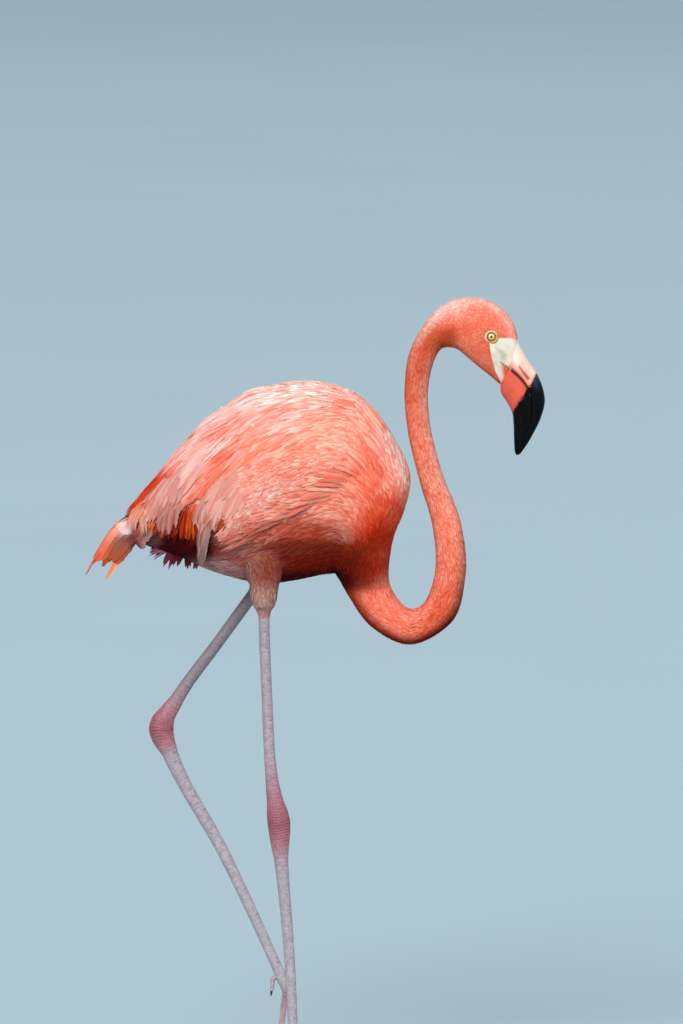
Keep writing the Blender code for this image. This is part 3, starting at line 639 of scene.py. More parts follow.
@dataclass
class Markings:
    """Colours of the plumage, shared by the skin and the feathers that lie on it.

    Tones hold, for a section of the body, the colour on its back line, its side and its belly line;
    patches are laid over them in order. The belly line is darker than the bird's own deeper red,
    most under the neck's loop and on the belly: painted shade.
    """

    # The belly column is partly the bird's deeper red and partly painted shade, darkest under the neck's loop
    # (sections 17 to 19) and on the belly.
    tones: tuple = (
        (0, "F0A48E", "9A5A56", "6E323A"), (5, "FFC4B6", "DE8470", "7E2018"),
        (9, "FFC0B2", "E2806A", "80221A"), (11, "FFB6A4", "F07A62", "A03018"),
        (13, "FB9E8A", "F2745A", "B03A20"), (15, "F29480", "EC7056", "B83E26"),
        (17, "F27E68", "F07860", "8E2008"), (19, "EC7D66", "D4563C", "5E1206"),
        (21, "F0866C", "EE7E64", "EA8672"), (22.5, "E8765C", "E67C64", "EC988A"),
        (24, "D05F42", "D2664C", "DE8470"), (25.4, "E08A78", "C8502F", "CC6044"),
        (26.6, "F6B4A6", "D85E42", "C85A40"), (28, "FFB8A8", "DE6A50", "DE7458"),
        (31, "F28C74", "D8654D", "D2644C"))
    body_patches: tuple = (
        Patch((80, 660), (32, 46), -20, "D63C14", 0.85),
        # Painted shade, partly: this patch and the dark reds below at Z 648 to 588 darken the lower breast
        # and belly past the bird's own deeper red.
        Patch((64, 622), (40, 46), -20, "B42806", 0.88),
        # Painted highlight, partly: the pale pink fringe on the breast's upper front edge.
        Patch((96, 738), (9, 44), 28, "FFC4B8", 0.7),
        Patch((-15, 648), (70, 20), -4, "9C3016", 0.85),
        Patch((-8, 628), (84, 16), 0, "6C1C0A", 0.88),
        Patch((30, 646), (24, 9), -12, "BC7468", 0.4),
        Patch((10, 606), (84, 24), 0, "741204", 0.88),
        Patch((-10, 588), (95, 18), 0, "3C0406", 0.95),
        Patch((-100, 602), (44, 20), -22, "B87E7A", 0.95),
        Patch((-62, 614), (32, 22), 0, "A85A4E", 0.7),
        # Painted shade: near-black maroon under the rear of the wing.
        Patch((-140, 630), (50, 24), 0, "420206", 0.98),
        # Painted shade: brown under the tail's root.
        Patch((-182, 638), (20, 15), 0, "7A4444", 0.9),
        # Painted shade: darker orange-brown under the throat, where the head meets the neck.
        Patch((145, 856), (19, 13), 30, "A84020", 0.8),
        Patch((190, 880), (30, 14), -35, "E4654C", 0.8))
    shoulder_patches: tuple = (
        Patch((34, 756), (56, 44), 0, "F8947E", 0.9),
        Patch((62, 712), (26, 34), 20, "F06C50", 0.85))
    wing_patches: tuple = (
        # These three pale patches along the wing's top and rear outline are partly the bird's pale pink and
        # partly painted highlight.
        Patch((-20, 806), (130, 22), 4, "FFC8BC", 0.85),
        Patch((-66, 796), (60, 10), 22, "FFD8D0", 0.6),
        Patch((-120, 745), (60, 20), 46, "FFC8C4", 0.6),
        Patch((-40, 735), (50, 30), 10, "F28468", 0.6),
        Patch((-186, 684), (44, 12), 46, "C83A16", 0.92),
        Patch((-140, 656), (62, 22), 0, "9A2A08", 0.97),
        # Painted shade: near-black maroon at the wing's lower rear edge.
        Patch((-132, 630), (60, 22), 0, "3A0205", 0.98),
        Patch((-182, 660), (18, 12), 50, "C8846E", 0.8))
    tail_patches: tuple = (
        Patch((-204, 650), (13, 9), 45, "E2BABC", 0.95),
        # Painted shade: brown along the tail's lower edge, where its underside turns from the light.
        Patch((-184, 637), (22, 8), 8, "7E423E", 0.95))
    fluff_patches: tuple = (
        Patch((-50, 678), (60, 30), 20, "EAAA9A", 0.7),
        # Painted shade, partly: the lower flank darkens towards the belly.
        Patch((-15, 650), (90, 27), 4, "B04C3A", 0.9))

    def over(self, base: Array, x: Array, z: Array, patches: tuple) -> Array:
        """Lay patches over a colour, each mixed in by its weight, then clumps about 15 by 20 mm.

        The clumps are a product of two waves, each bent by another; they change green and blue most.

        Args:
            base: Colours of the points.
            x: X of the points in mm.
            z: Z of the points in mm.
            patches: Patches, the lowest first.

        Returns:
            The new colours.
        """
        for patch in patches:
            base = blend(base, patch.colour, patch.weight(x, z))
        clump = np.sin(0.21 * x + 1.7 * np.sin(0.083 * z)) * np.sin(0.16 * z + 1.9 * np.sin(0.11 * x + 1))
        return base * (1 + clump[..., None] * np.array([0.03, 0.17, 0.2]))

    def body(self, a: Array, b: Array, points: Array) -> Array:
        """Colour of the body: by section, by the turn from back line to belly line, then the patches."""
        keys = [tone[0] for tone in self.tones]
        lines = [np.stack([np.interp(a, keys, column) for column in
                           np.array([linear(tone[k]) for tone in self.tones]).T], axis=-1) for k in (1, 2, 3)]
        up = np.sin(math.tau * b)[..., None]
        # The belly line's colour, with its painted shade, comes in on the lower side of each section.
        base = lines[1] + (lines[0] - lines[1]) * smooth((up - 0.05) / 0.9) \
            + (lines[2] - lines[1]) * smooth((-up - 0.15) / 0.8)
        return self.over(base, points[..., 0], points[..., 2], self.body_patches + self.shoulder_patches)

    def wing(self, points: Array) -> Array:
        """Colour of the wing: pale above, a warmer pink below, then the patches."""
        x, z = points[..., 0], points[..., 2]
        base = blend(linear("D27866"), "FF9C8E", smooth((z - 650) / 150))
        return self.over(base, x, z, self.wing_patches + self.shoulder_patches)

    def fluff(self, a: Array, b: Array, points: Array) -> Array:
        """Colour of the flank where its feathers curl over the wing's lower edge."""
        base = linear("E68C78") + np.zeros(points.shape)
        return self.over(base, points[..., 0], points[..., 2], self.fluff_patches + self.shoulder_patches)


TIMES = {"operation": "MULTIPLY"}
TIMES_PLUS = {"operation": "MULTIPLY_ADD"}
MIXED = {"data_type": "RGBA"}
TINTED = {"data_type": "RGBA", "blend_type": "MULTIPLY"}


class Finish:
    """Common start and end of every finish: a new material, and what its shader is given."""

    name: str

    def start(self) -> tuple[Material, bpy.types.NodeTree]:
        """Make a material named for what it is, with its node tree."""
        made = bpy.data.materials.new(self.name)
        made.use_nodes = True
        return made, made.node_tree

    def dress(self, made: Material, inputs: dict) -> Material:
        """Set fixed numbers and links on the material's shader, as fill takes them."""
        fill(made.node_tree.nodes["Principled BSDF"], inputs)
        return made


@dataclass(frozen=True)
class PlumageFinish(Finish):
    """Barbed feather vane: matt keratin with a soft sheen, streaked along its barbs.

    Barbs stand about 0.4 mm apart on a real vane. Here thirty waves share a feather's length, which is
    coarser on all but the shortest feathers, to show.
    """

    name: str
    streak: float = 0.5
    barb_turn: float = 190.0  # thirty waves in radians
    lanes: tuple[float, float, float] = (3.2, 1.6, 57.0)  # streaks across, along, and apart by feather

    def make(self) -> Material:
        """Marking colour times lengthwise streaks, with barbs as relief that slant back from the shaft."""
        made, tree = self.start()
        mark, along, across, tone = (add_node(tree, "Attribute", {"attribute_name": name})
                                     for name in ("Marking", "Along", "Across", "Tone"))
        lanes = [add_node(tree, "Math", TIMES, {0: part.outputs["Fac"], 1: pace})
                 for part, pace in zip((across, along, tone), self.lanes)]
        place = add_node(tree, "CombineXYZ", {}, dict(enumerate(lanes)))
        noise = add_node(tree, "TexNoise", {}, {
            "Vector": place, "Scale": 1.0, "Detail": 3.0, "Roughness": 0.6})
        light = add_node(tree, "MapRange", {}, {
            "Value": noise.outputs["Fac"], "From Min": 0.3, "From Max": 0.7,
            "To Min": 1.0 - self.streak * 0.45, "To Max": 1.0 + self.streak * 0.25})
        streaked = add_node(tree, "Mix", TINTED,
                            {0: 1.0, 6: mark.outputs["Color"], 7: light})
        wide = add_node(tree, "Math", {"operation": "ABSOLUTE"}, {0: across.outputs["Fac"]})
        slant = add_node(tree, "Math", TIMES_PLUS, {0: wide, 1: -0.35, 2: along.outputs["Fac"]})
        turns = add_node(tree, "Math", TIMES, {0: slant, 1: self.barb_turn})
        barbs = add_node(tree, "Math", {"operation": "SINE"}, {0: turns})
        relief = add_node(tree, "Math", TIMES_PLUS, {0: barbs, 1: 0.25, 2: noise.outputs["Fac"]})
        bump = add_node(tree, "Bump", {}, {"Strength": 0.18, "Distance": 0.5 * MM, "Height": relief})
        return self.dress(made, {"Roughness": 0.9, "Specular IOR Level": 0.05,
                                 "Base Color": streaked.outputs[2], "Normal": bump})


@dataclass(frozen=True)
class SkinFinish(Finish):
    """Skin of the body: downy and coloured under the feathers, bare and finely wrinkled on the face."""

    name: str = "downy skin with a bare face"
    wrinkle: float = 1.25  # mm between the wrinkles of bare facial skin
    mottle: float = 6.25

    def make(self) -> Material:
        """Marking colour with soft mottling, and fine wrinkles as relief."""
        made, tree = self.start()
        mark = add_node(tree, "Attribute", {"attribute_name": "Marking"})
        place = add_node(tree, "TexCoord").outputs["Object"]
        fine = add_node(tree, "TexNoise", {}, {"Vector": place, "Scale": every(self.wrinkle), "Detail": 4.0})
        broad = add_node(tree, "TexNoise", {}, {"Vector": place, "Scale": every(self.mottle), "Detail": 2.0})
        light = add_node(tree, "MapRange", {}, {
            "Value": broad.outputs["Fac"], "From Min": 0.3, "From Max": 0.7, "To Min": 0.9, "To Max": 1.06})
        mottled = add_node(tree, "Mix", TINTED,
                           {0: 1.0, 6: mark.outputs["Color"], 7: light})
        bump = add_node(tree, "Bump", {}, {
            "Strength": 0.3, "Distance": 0.4 * MM, "Height": fine.outputs["Fac"]})
        return self.dress(made, {"Roughness": 0.7, "Specular IOR Level": 0.15,
                                 "Base Color": mottled.outputs[2], "Normal": bump})


@dataclass(frozen=True)
class LegSkinFinish(Finish):
    """Horny leg skin: overlapping scutes, dusty mauve pink, redder and wrinkled at the ankle."""

    name: str = "scaled leg skin"
    scale: float = 2.381  # mm across a small scale on the side of the leg
    fleck: float = 3.846

    def make(self) -> Material:
        """Marking colour, darkened in the grooves between scutes and mottled by small pale flecks."""
        made, tree = self.start()
        mark, groove = (add_node(tree, "Attribute", {"attribute_name": name})
                        for name in ("Marking", "Groove"))
        place = add_node(tree, "TexCoord").outputs["Object"]
        cells = add_node(tree, "TexVoronoi", {"feature": "DISTANCE_TO_EDGE"},
                         {"Vector": place, "Scale": every(self.scale)})
        edge = add_node(tree, "MapRange", {}, {
            "Value": cells.outputs["Distance"], "From Min": 0.0, "From Max": 0.18, "To Min": 0.72,
            "To Max": 1.0})
        flecks = add_node(tree, "TexNoise", {}, {"Vector": place, "Scale": every(self.fleck), "Detail": 3.0})
        light = add_node(tree, "MapRange", {}, {
            "Value": flecks.outputs["Fac"], "From Min": 0.35, "From Max": 0.7, "To Min": 0.88,
            "To Max": 1.18})
        both = add_node(tree, "Math", TIMES, {0: edge, 1: light})
        deep = add_node(tree, "Math", TIMES_PLUS, {0: groove.outputs["Fac"], 1: -0.4, 2: both})
        shaded = add_node(tree, "Mix", TINTED,
                          {0: 1.0, 6: mark.outputs["Color"], 7: deep})
        bump = add_node(tree, "Bump", {}, {"Strength": 0.5, "Distance": 0.4 * MM, "Height": both})
        return self.dress(made, {"Roughness": 0.5, "Specular IOR Level": 0.45,
                                 "Base Color": shaded.outputs[2], "Normal": bump})


@dataclass(frozen=True)
class HornFinish(Finish):
    """Keratin horn of bill and claws: smooth, slightly waxy, with faint growth specks."""

    name: str = "bill and claw horn"
    roughness: float = 0.38
    speck: float = 1.111  # mm between the growth specks
    cloud: float = 8.333

    def make(self) -> Material:
        """Marking colour with sparse pale specks and a faint uneven gloss."""
        made, tree = self.start()
        mark = add_node(tree, "Attribute", {"attribute_name": "Marking"})
        place = add_node(tree, "TexCoord").outputs["Object"]
        specks = add_node(tree, "TexNoise", {}, {"Vector": place, "Scale": every(self.speck), "Detail": 2.0})
        soft = add_node(tree, "TexNoise", {}, {"Vector": place, "Scale": every(self.cloud), "Detail": 3.0})
        light = add_node(tree, "MapRange", {}, {
            "Value": soft.outputs["Fac"], "From Min": 0.3, "From Max": 0.7, "To Min": 0.9, "To Max": 1.08})
        shaded = add_node(tree, "Mix", TINTED,
                          {0: 1.0, 6: mark.outputs["Color"], 7: light})
        few = add_node(tree, "MapRange", {}, {
            "Value": specks.outputs["Fac"], "From Min": 0.66, "From Max": 0.74, "To Min": 0.0,
            "To Max": 0.12})
        dotted = add_node(tree, "Mix", MIXED, {0: few, 6: shaded.outputs[2], 7: "8A8890"})
        rough = add_node(tree, "MapRange", {}, {
            "Value": soft.outputs["Fac"], "From Min": 0.3, "From Max": 0.7, "To Min": self.roughness - 0.06,
            "To Max": self.roughness + 0.08})
        bump = add_node(tree, "Bump", {}, {
            "Strength": 0.15, "Distance": 0.3 * MM, "Height": specks.outputs["Fac"]})
        return self.dress(made, {"Specular IOR Level": 0.1, "Roughness": rough,
                                 "Base Color": dotted.outputs[2], "Normal": bump})


@dataclass(frozen=True)
class EyeFinish(Finish):
    """Glass eye: small dark pupil, pale straw iris, dark brown rim, wet gloss."""

    name: str = "glass eye"
    rim: float = 5.0  # distance in mm from the eye's axis at which the last colour is reached
    stops: tuple = ((0.0, "07060A"), (0.2, "0B090C"), (0.27, "B89858"), (0.45, "DCC080"), (0.62, "CCA45C"),
                    (0.76, "9A7038"), (1.0, "6E4A24"))

    def make(self) -> Material:
        """Colour by the distance from the eye's axis, which the mesh carries in mm as Disc."""
        made, tree = self.start()
        disc = add_node(tree, "Attribute", {"attribute_name": "Disc"})
        share = add_node(tree, "Math", {"operation": "DIVIDE"}, {0: disc.outputs["Fac"], 1: self.rim})
        ramp = add_node(tree, "ValToRGB", {}, {0: share})
        ramp.color_ramp.elements.remove(ramp.color_ramp.elements[1])
        for place, code in self.stops[1:]:
            ramp.color_ramp.elements.new(place).color = (*linear(code), 1.0)
        ramp.color_ramp.elements[0].color = (*linear(self.stops[0][1]), 1.0)
        return self.dress(made, {"Roughness": 0.08, "Coat Weight": 1.0, "Coat Roughness": 0.02,
                                 "Base Color": ramp})


@dataclass(frozen=True)
class BoardFinish(Finish):
    """The stand: a board with a sprayed satin lacquer, which leaves a slight orange-peel surface."""

    name: str = "satin lacquered board"
    cloud: float = 40.0
    peel: float = 1.538  # mm across a dimple of the lacquer

    def make(self) -> Material:
        """One quiet grey, a little lighter and darker in clouds, with the peel as relief."""
        made, tree = self.start()
        place = add_node(tree, "TexCoord").outputs["Object"]
        cloud = add_node(tree, "TexNoise", {}, {"Vector": place, "Scale": every(self.cloud), "Detail": 4.0})
        peel = add_node(tree, "TexNoise", {}, {"Vector": place, "Scale": every(self.peel), "Detail": 1.0})
        tint = add_node(tree, "Mix", MIXED, {0: cloud.outputs["Fac"], 6: "B4B0A6", 7: "C8C4BC"})
        bump = add_node(tree, "Bump", {}, {
            "Strength": 0.12, "Distance": 0.3 * MM, "Height": peel.outputs["Fac"]})
        return self.dress(made, {"Roughness": 0.42, "Base Color": tint.outputs[2], "Normal": bump})


@dataclass(frozen=True)
class FloorFinish(Finish):
    """Studio floor: matt pale blue-grey."""

    name: str = "matt studio floor"
    cloud: float = 1000.0

    def make(self) -> Material:
        """A plain colour with a very faint unevenness a metre wide."""
        made, tree = self.start()
        place = add_node(tree, "TexCoord").outputs["Object"]
        cloud = add_node(tree, "TexNoise", {}, {"Vector": place, "Scale": every(self.cloud)})
        tint = add_node(tree, "Mix", MIXED, {0: cloud.outputs["Fac"], 6: "A5BAC4", 7: "A9BEC9"})
        return self.dress(made, {"Roughness": 0.9, "Specular IOR Level": 0.1, "Base Color": tint.outputs[2]})


@dataclass(frozen=True)
class Tract:
    """One field of feathers of a kind.

    Attributes:
        span_a: Where the field starts and ends along the form.
        span_b: Where it starts and ends across the form.
        length: Feather length in mm at the start and at the end of span_a.
        width: Full width in mm at the start and at the end of span_a.
        gap: Distance between rows as a share of length, and between roots as a share of width.
        stations: Rings along a feather.
        sides: Points across its upper face.
        sink: Depth of the root under the form, in mm.
        rise: Height of the tip over the form, in mm.
        thick: Height of the middle over the edges, in mm.
        outline: Places along a feather and its width there, as shares.
        fray: How much the width jumps from ring to ring, as a share.
        camber: How far its edges drop, as a share of the half width.
        stray: Spread of its direction, in degrees.
        round: How round it looks across: the lean of its edges' shading from the form's own.
        curl: Turn gained from root to tip, in degrees.
    """

    span_a: tuple[float, float]
    span_b: tuple[float, float]
    length: tuple[float, float]
    width: tuple[float, float]
    gap: tuple[float, float] = (0.42, 0.62)
    stations: int = 4
    sides: int = 3
    sink: float = 2.0
    rise: float = 0.3
    thick: float = 0.08
    outline: tuple = ((0.0, 0.35, 0.7, 0.9, 1.0), (0.45, 0.9, 1.0, 0.7, 0.16))
    fray: float = 0.06
    camber: float = 0.08
    stray: float = 5.0
    round: float = 0.3
    curl: float = 0.0

    def at(self, pair: tuple[float, float], a: Array | float) -> Array:
        """Value at a place between the two ends of the field's first span."""
        return np.interp(a, *zip(*sorted(zip(self.span_a, pair))))


PALER = np.array([0.14, 0.72, 0.90])  # what a paler feather gains in red, green and blue
DEEPER = np.array([-0.12, -0.48, -0.56])
PALEST = np.array([0.2, 1.0, 1.15])


@dataclass
class Tint:
    """Change of each feather's colour: a gain on its marking, then a mix to one colour by a share."""

    gain: Array
    colour: Array
    share: Array

    @staticmethod
    def strokes(a: Array, b: Array, rng: np.random.Generator) -> Tint:
        """Fine strokes: 35 feathers in 100 paler, 37 deeper, 3 much paler and the rest as they are.

        Args:
            a: First coordinate of the roots, for their number.
            b: Second coordinate of the roots.
            rng: Random numbers of the coat.

        Returns:
            The change of each feather.
        """
        draw, size = rng.uniform(0, 1, (len(a), 1)), rng.uniform(0.3, 1, (len(a), 1))
        way = np.where(draw < 0.35, PALER, np.where(draw > 0.6, DEEPER, 0))
        way = np.where(draw > 0.97, PALEST, way)
        return Tint(1 + way * size, np.zeros((len(a), 3)), np.zeros((len(a), 1)))

    def only(self, keep: Array) -> Tint:
        """The changes of some of the feathers."""
        return Tint(self.gain[keep], self.colour[keep], self.share[keep])

    def on(self, colour: Array, strength: Array) -> Array:
        """Apply the changes to colours of shape (feathers, stations, ring, 3) with a strength."""
        gain, own, share = (part[:, None, None] for part in (self.gain, self.colour, self.share))
        colour = colour * (1 + (gain - 1) * strength)
        return colour * (1 - share * strength) + own * share * strength


@dataclass
class Coat:
    """Feathers on a form: roots in staggered rows, vanes marched over the surface from them."""

    form: Form
    markings: Callable[[Array, Array, Array], Array]
    seed: int

    def __post_init__(self) -> None:
        """Start this coat's own run of random numbers."""
        self.rng = np.random.default_rng(self.seed)

    def roots(self, tract: Tract) -> tuple[Array, Array]:
        """Stagger roots over a field, in rows an even distance apart, thinned where the rows crowd.

        Args:
            tract: The field of feathers.

        Returns:
            Both coordinates of every root.
        """
        a, fine = min(tract.span_a), np.linspace(*tract.span_b, 97)
        found_a, found_b = [], []
        while a < max(tract.span_a):
            frame = self.form.frame(np.full_like(fine, a), fine)
            arc = np.concatenate([[0], np.cumsum((frame.pace_b[1:] + frame.pace_b[:-1]) / 2 * np.diff(fine))])
            count = max(1, int(arc[-1] / (float(tract.at(tract.width, a)) * tract.gap[1])))
            spots = (np.arange(count) + self.rng.uniform(0, 1) + self.rng.uniform(-0.3, 0.3, count)) / count
            b = np.interp(spots % 1.0 * arc[-1], arc, fine)
            step = float(tract.at(tract.length, a)) * tract.gap[0] / frame.pace_a.max()
            pace = np.interp(b, fine, frame.pace_a) / frame.pace_a.max()
            keep = self.rng.uniform(0, 1, count) < pace + 0.12
            found_a.append(a + self.rng.uniform(-0.4, 0.4, keep.sum()) * step)
            found_b.append(b[keep])
            a += step
        return np.concatenate(found_a), np.concatenate(found_b)

    def vanes(self, tract: Tract, a: Array, b: Array, length: Array, width: Array, turn: Array | float,
              tint: Tint, clear: Callable[[Array], Array] | None = None) -> Surface:
        """Grow a closed vane from each root.

        Its middle line steps along the surface in the lie's direction; its section is a flat lens, with
        a flat underside on the narrow ones, and its edges drop with the square of the place across.

        Args:
            tract: Shape of the feathers.
            a: First coordinate of the roots.
            b: Second coordinate of the roots.
            length: Length of each feather in mm.
            width: Full width of each feather in mm.
            turn: Extra turn of each feather from the lie, in radians.
            tint: Changes of each feather's colour.
            clear: Tells which centre lines to keep, from their points.

        Returns:
            The vanes as one surface.
        """
        count, steps = len(a), tract.stations
        stray = np.radians(self.rng.normal(0, tract.stray, count)) + turn
        gain = np.radians(tract.curl) / steps * self.rng.uniform(0.6, 1.4, count)
        root_a, root_b = a, b
        lines, sides, outs, spots = [], [], [], []
        for step in range(steps):
            spots.append(np.stack([a, b]))
            frame = self.form.frame(a, b)
            way = self.form.lie(a, b) + stray + gain * step
            ahead = -(np.cos(way)[:, None] * frame.along + np.sin(way)[:, None] * frame.around)
            side = np.cross(frame.outward, ahead)
            lines.append(frame.place)
            outs.append(frame.outward)
            sides.append(side / np.linalg.norm(side, axis=1)[:, None].clip(1e-6))
            a = a - np.cos(way) * length / (steps - 1) / frame.pace_a
            b = b - np.sin(way) * length / (steps - 1) / frame.pace_b
        line, side, out = (np.stack(part, axis=1) for part in (lines, sides, outs))
        track = np.stack(spots, axis=-1)
        if clear is not None:
            keep = clear(line)
            line, side, out, track = line[keep], side[keep], out[keep], track[:, keep]
            root_a, root_b, width = root_a[keep], root_b[keep], width[keep]
            tint = tint.only(keep)
            count = len(width)
        s = np.linspace(0, 1, steps)
        half = width[:, None] / 2 * np.interp(s, *tract.outline)
        jump = np.where(np.arange(steps) % 2, 1, -1) * self.rng.uniform(0.4, 1, (count, steps))
        half = half * (1 + tract.fray * jump)
        lift = -tract.sink + (tract.sink + tract.rise) * s**0.8 + self.rng.normal(0, 0.06, count)[:, None]
        t = np.linspace(-1, 1, tract.sides)
        below = t[::-1][1:-1] if tract.sides > 3 else t[:0]
        across = np.concatenate([t, below])
        face = np.concatenate([np.ones(tract.sides), -0.6 * np.ones(len(below))])
        height = tract.thick * face * (1 - across**2) + 0.02
        drop = tract.camber * half[..., None] * across**2
        middle = (line + out * lift[..., None])[:, :, None]
        points = middle + side[:, :, None] * (half[..., None] * across)[..., None] \
            + out[:, :, None] * (height - drop)[..., None]
        ring = len(across)
        index = np.arange(count * steps * ring).reshape(count, steps, ring)
        faces = np.stack([index[:, :-1], np.roll(index, -1, 2)[:, :-1], np.roll(index, -1, 2)[:, 1:],
                          index[:, 1:]], axis=-1).reshape(-1, 4)
        tone = self.rng.uniform(0, 1, count)
        colour = self.markings(track[0], track[1], line)
        colour = (colour * (1 + 0.10 * (tone[:, None, None] - 0.5)))[:, :, None] * np.ones((ring, 1))
        lean = smooth(0.5 + across * np.sign(tone - 0.5)[:, None])
        colour = tint.on(colour, 0.35 + 0.65 * lean[:, None, :, None])
        paler = (1 + 0.14 * (s - 0.55))[None, :, None, None]
        along, over, tones = (np.broadcast_to(value, (count, steps, ring))
                              for value in (s[None, :, None], across, tone[:, None, None]))
        values = {"Along": along.ravel(), "Across": over.ravel(), "Tone": tones.ravel(),
                  "Marking": (colour * paler).reshape(-1, 3).clip(0, 1)}
        span = self.form.chart(root_a, root_b)
        soft = out[:, :, None] + tract.round * side[:, :, None] * across[:, None]
        soft = np.where(face[:, None] > 0, soft, -out[:, :, None])
        soft /= np.linalg.norm(soft, axis=-1, keepdims=True).clip(1e-6)
        # Each vane's own patch in the unwrap is 0.003 wide, beside its root's place.
        chart = np.stack([span[0][:, None, None] * 0.994 + 0.003 * along,
                          span[1][:, None, None] * 0.994 + 0.0015 * (1 + over)], axis=-1)
        return Surface(points.reshape(-1, 3), [faces, index[:, 0, ::-1], index[:, -1]], values,
                       chart.reshape(-1, 2), soft.reshape(-1, 3))

    def field(self, tract: Tract, keep: Callable[[Array], Array] | None = None, turn: float = 0.0,
              tint: Callable[[Array, Array, np.random.Generator], Tint] = Tint.strokes) -> Surface:
        """Fill a tract with vanes of its own lengths and widths, varied by a tenth.

        Args:
            tract: The field of feathers.
            keep: Tells which centre lines to keep, from their points.
            turn: Extra turn of all feathers from the lie, in radians.
            tint: Makes the changes of colour from the roots and the random numbers.

        Returns:
            The vanes as one surface.
        """
        a, b = self.roots(tract)
        vary = self.rng.uniform(0.9, 1.1, len(a))
        return self.vanes(tract, a, b, tract.at(tract.length, a) * vary, tract.at(tract.width, a) * vary,
                          turn, tint(a, b, self.rng), keep)


def place(piece: bpy.types.Object, slot: str, *nodes: str) -> None:
    """Set a piece on the one body and hide the solids it stands for.

    Args:
        piece: The finished object.
        slot: Name of its finish; not used.
        nodes: Solids that it replaces.
    """
    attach(piece, "root")
    if nodes:
        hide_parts(*nodes)


@dataclass
class Face:
    """The bare face and the ring round the eye, as seen from the side."""

    rear: tuple = ((194.7, 851), (195.8, 842), (198, 832.4), (201.3, 819.7), (206.8, 808))
    top: tuple = ((188, 858.5), (205, 857.5), (218, 857.5), (232, 852.5))
    eye: tuple[float, float] = (196.5, 859.5)
    ring: tuple[float, float] = (7.3, 6.9)
    gape: tuple = ((204, 832.5), (206.7, 830.9), (216.2, 824.7), (224.1, 818.3))

    def bare(self, x: Array, z: Array) -> Array:
        """How bare the skin is, from 0 to 1: ahead of the rear edge and below the top edge."""
        rear = np.interp(z, [p[1] for p in self.rear][::-1], [p[0] for p in self.rear][::-1])
        top = np.interp(x, *zip(*self.top))
        return smooth(np.minimum(x - rear, top - z) / 1.4 + 0.5)

    def ring_distance(self, x: Array, z: Array) -> Array:
        """Distance from the eye's centre in shares of the ring's outer oval."""
        return np.hypot((x - self.eye[0]) / self.ring[0], (z - self.eye[1]) / self.ring[1])


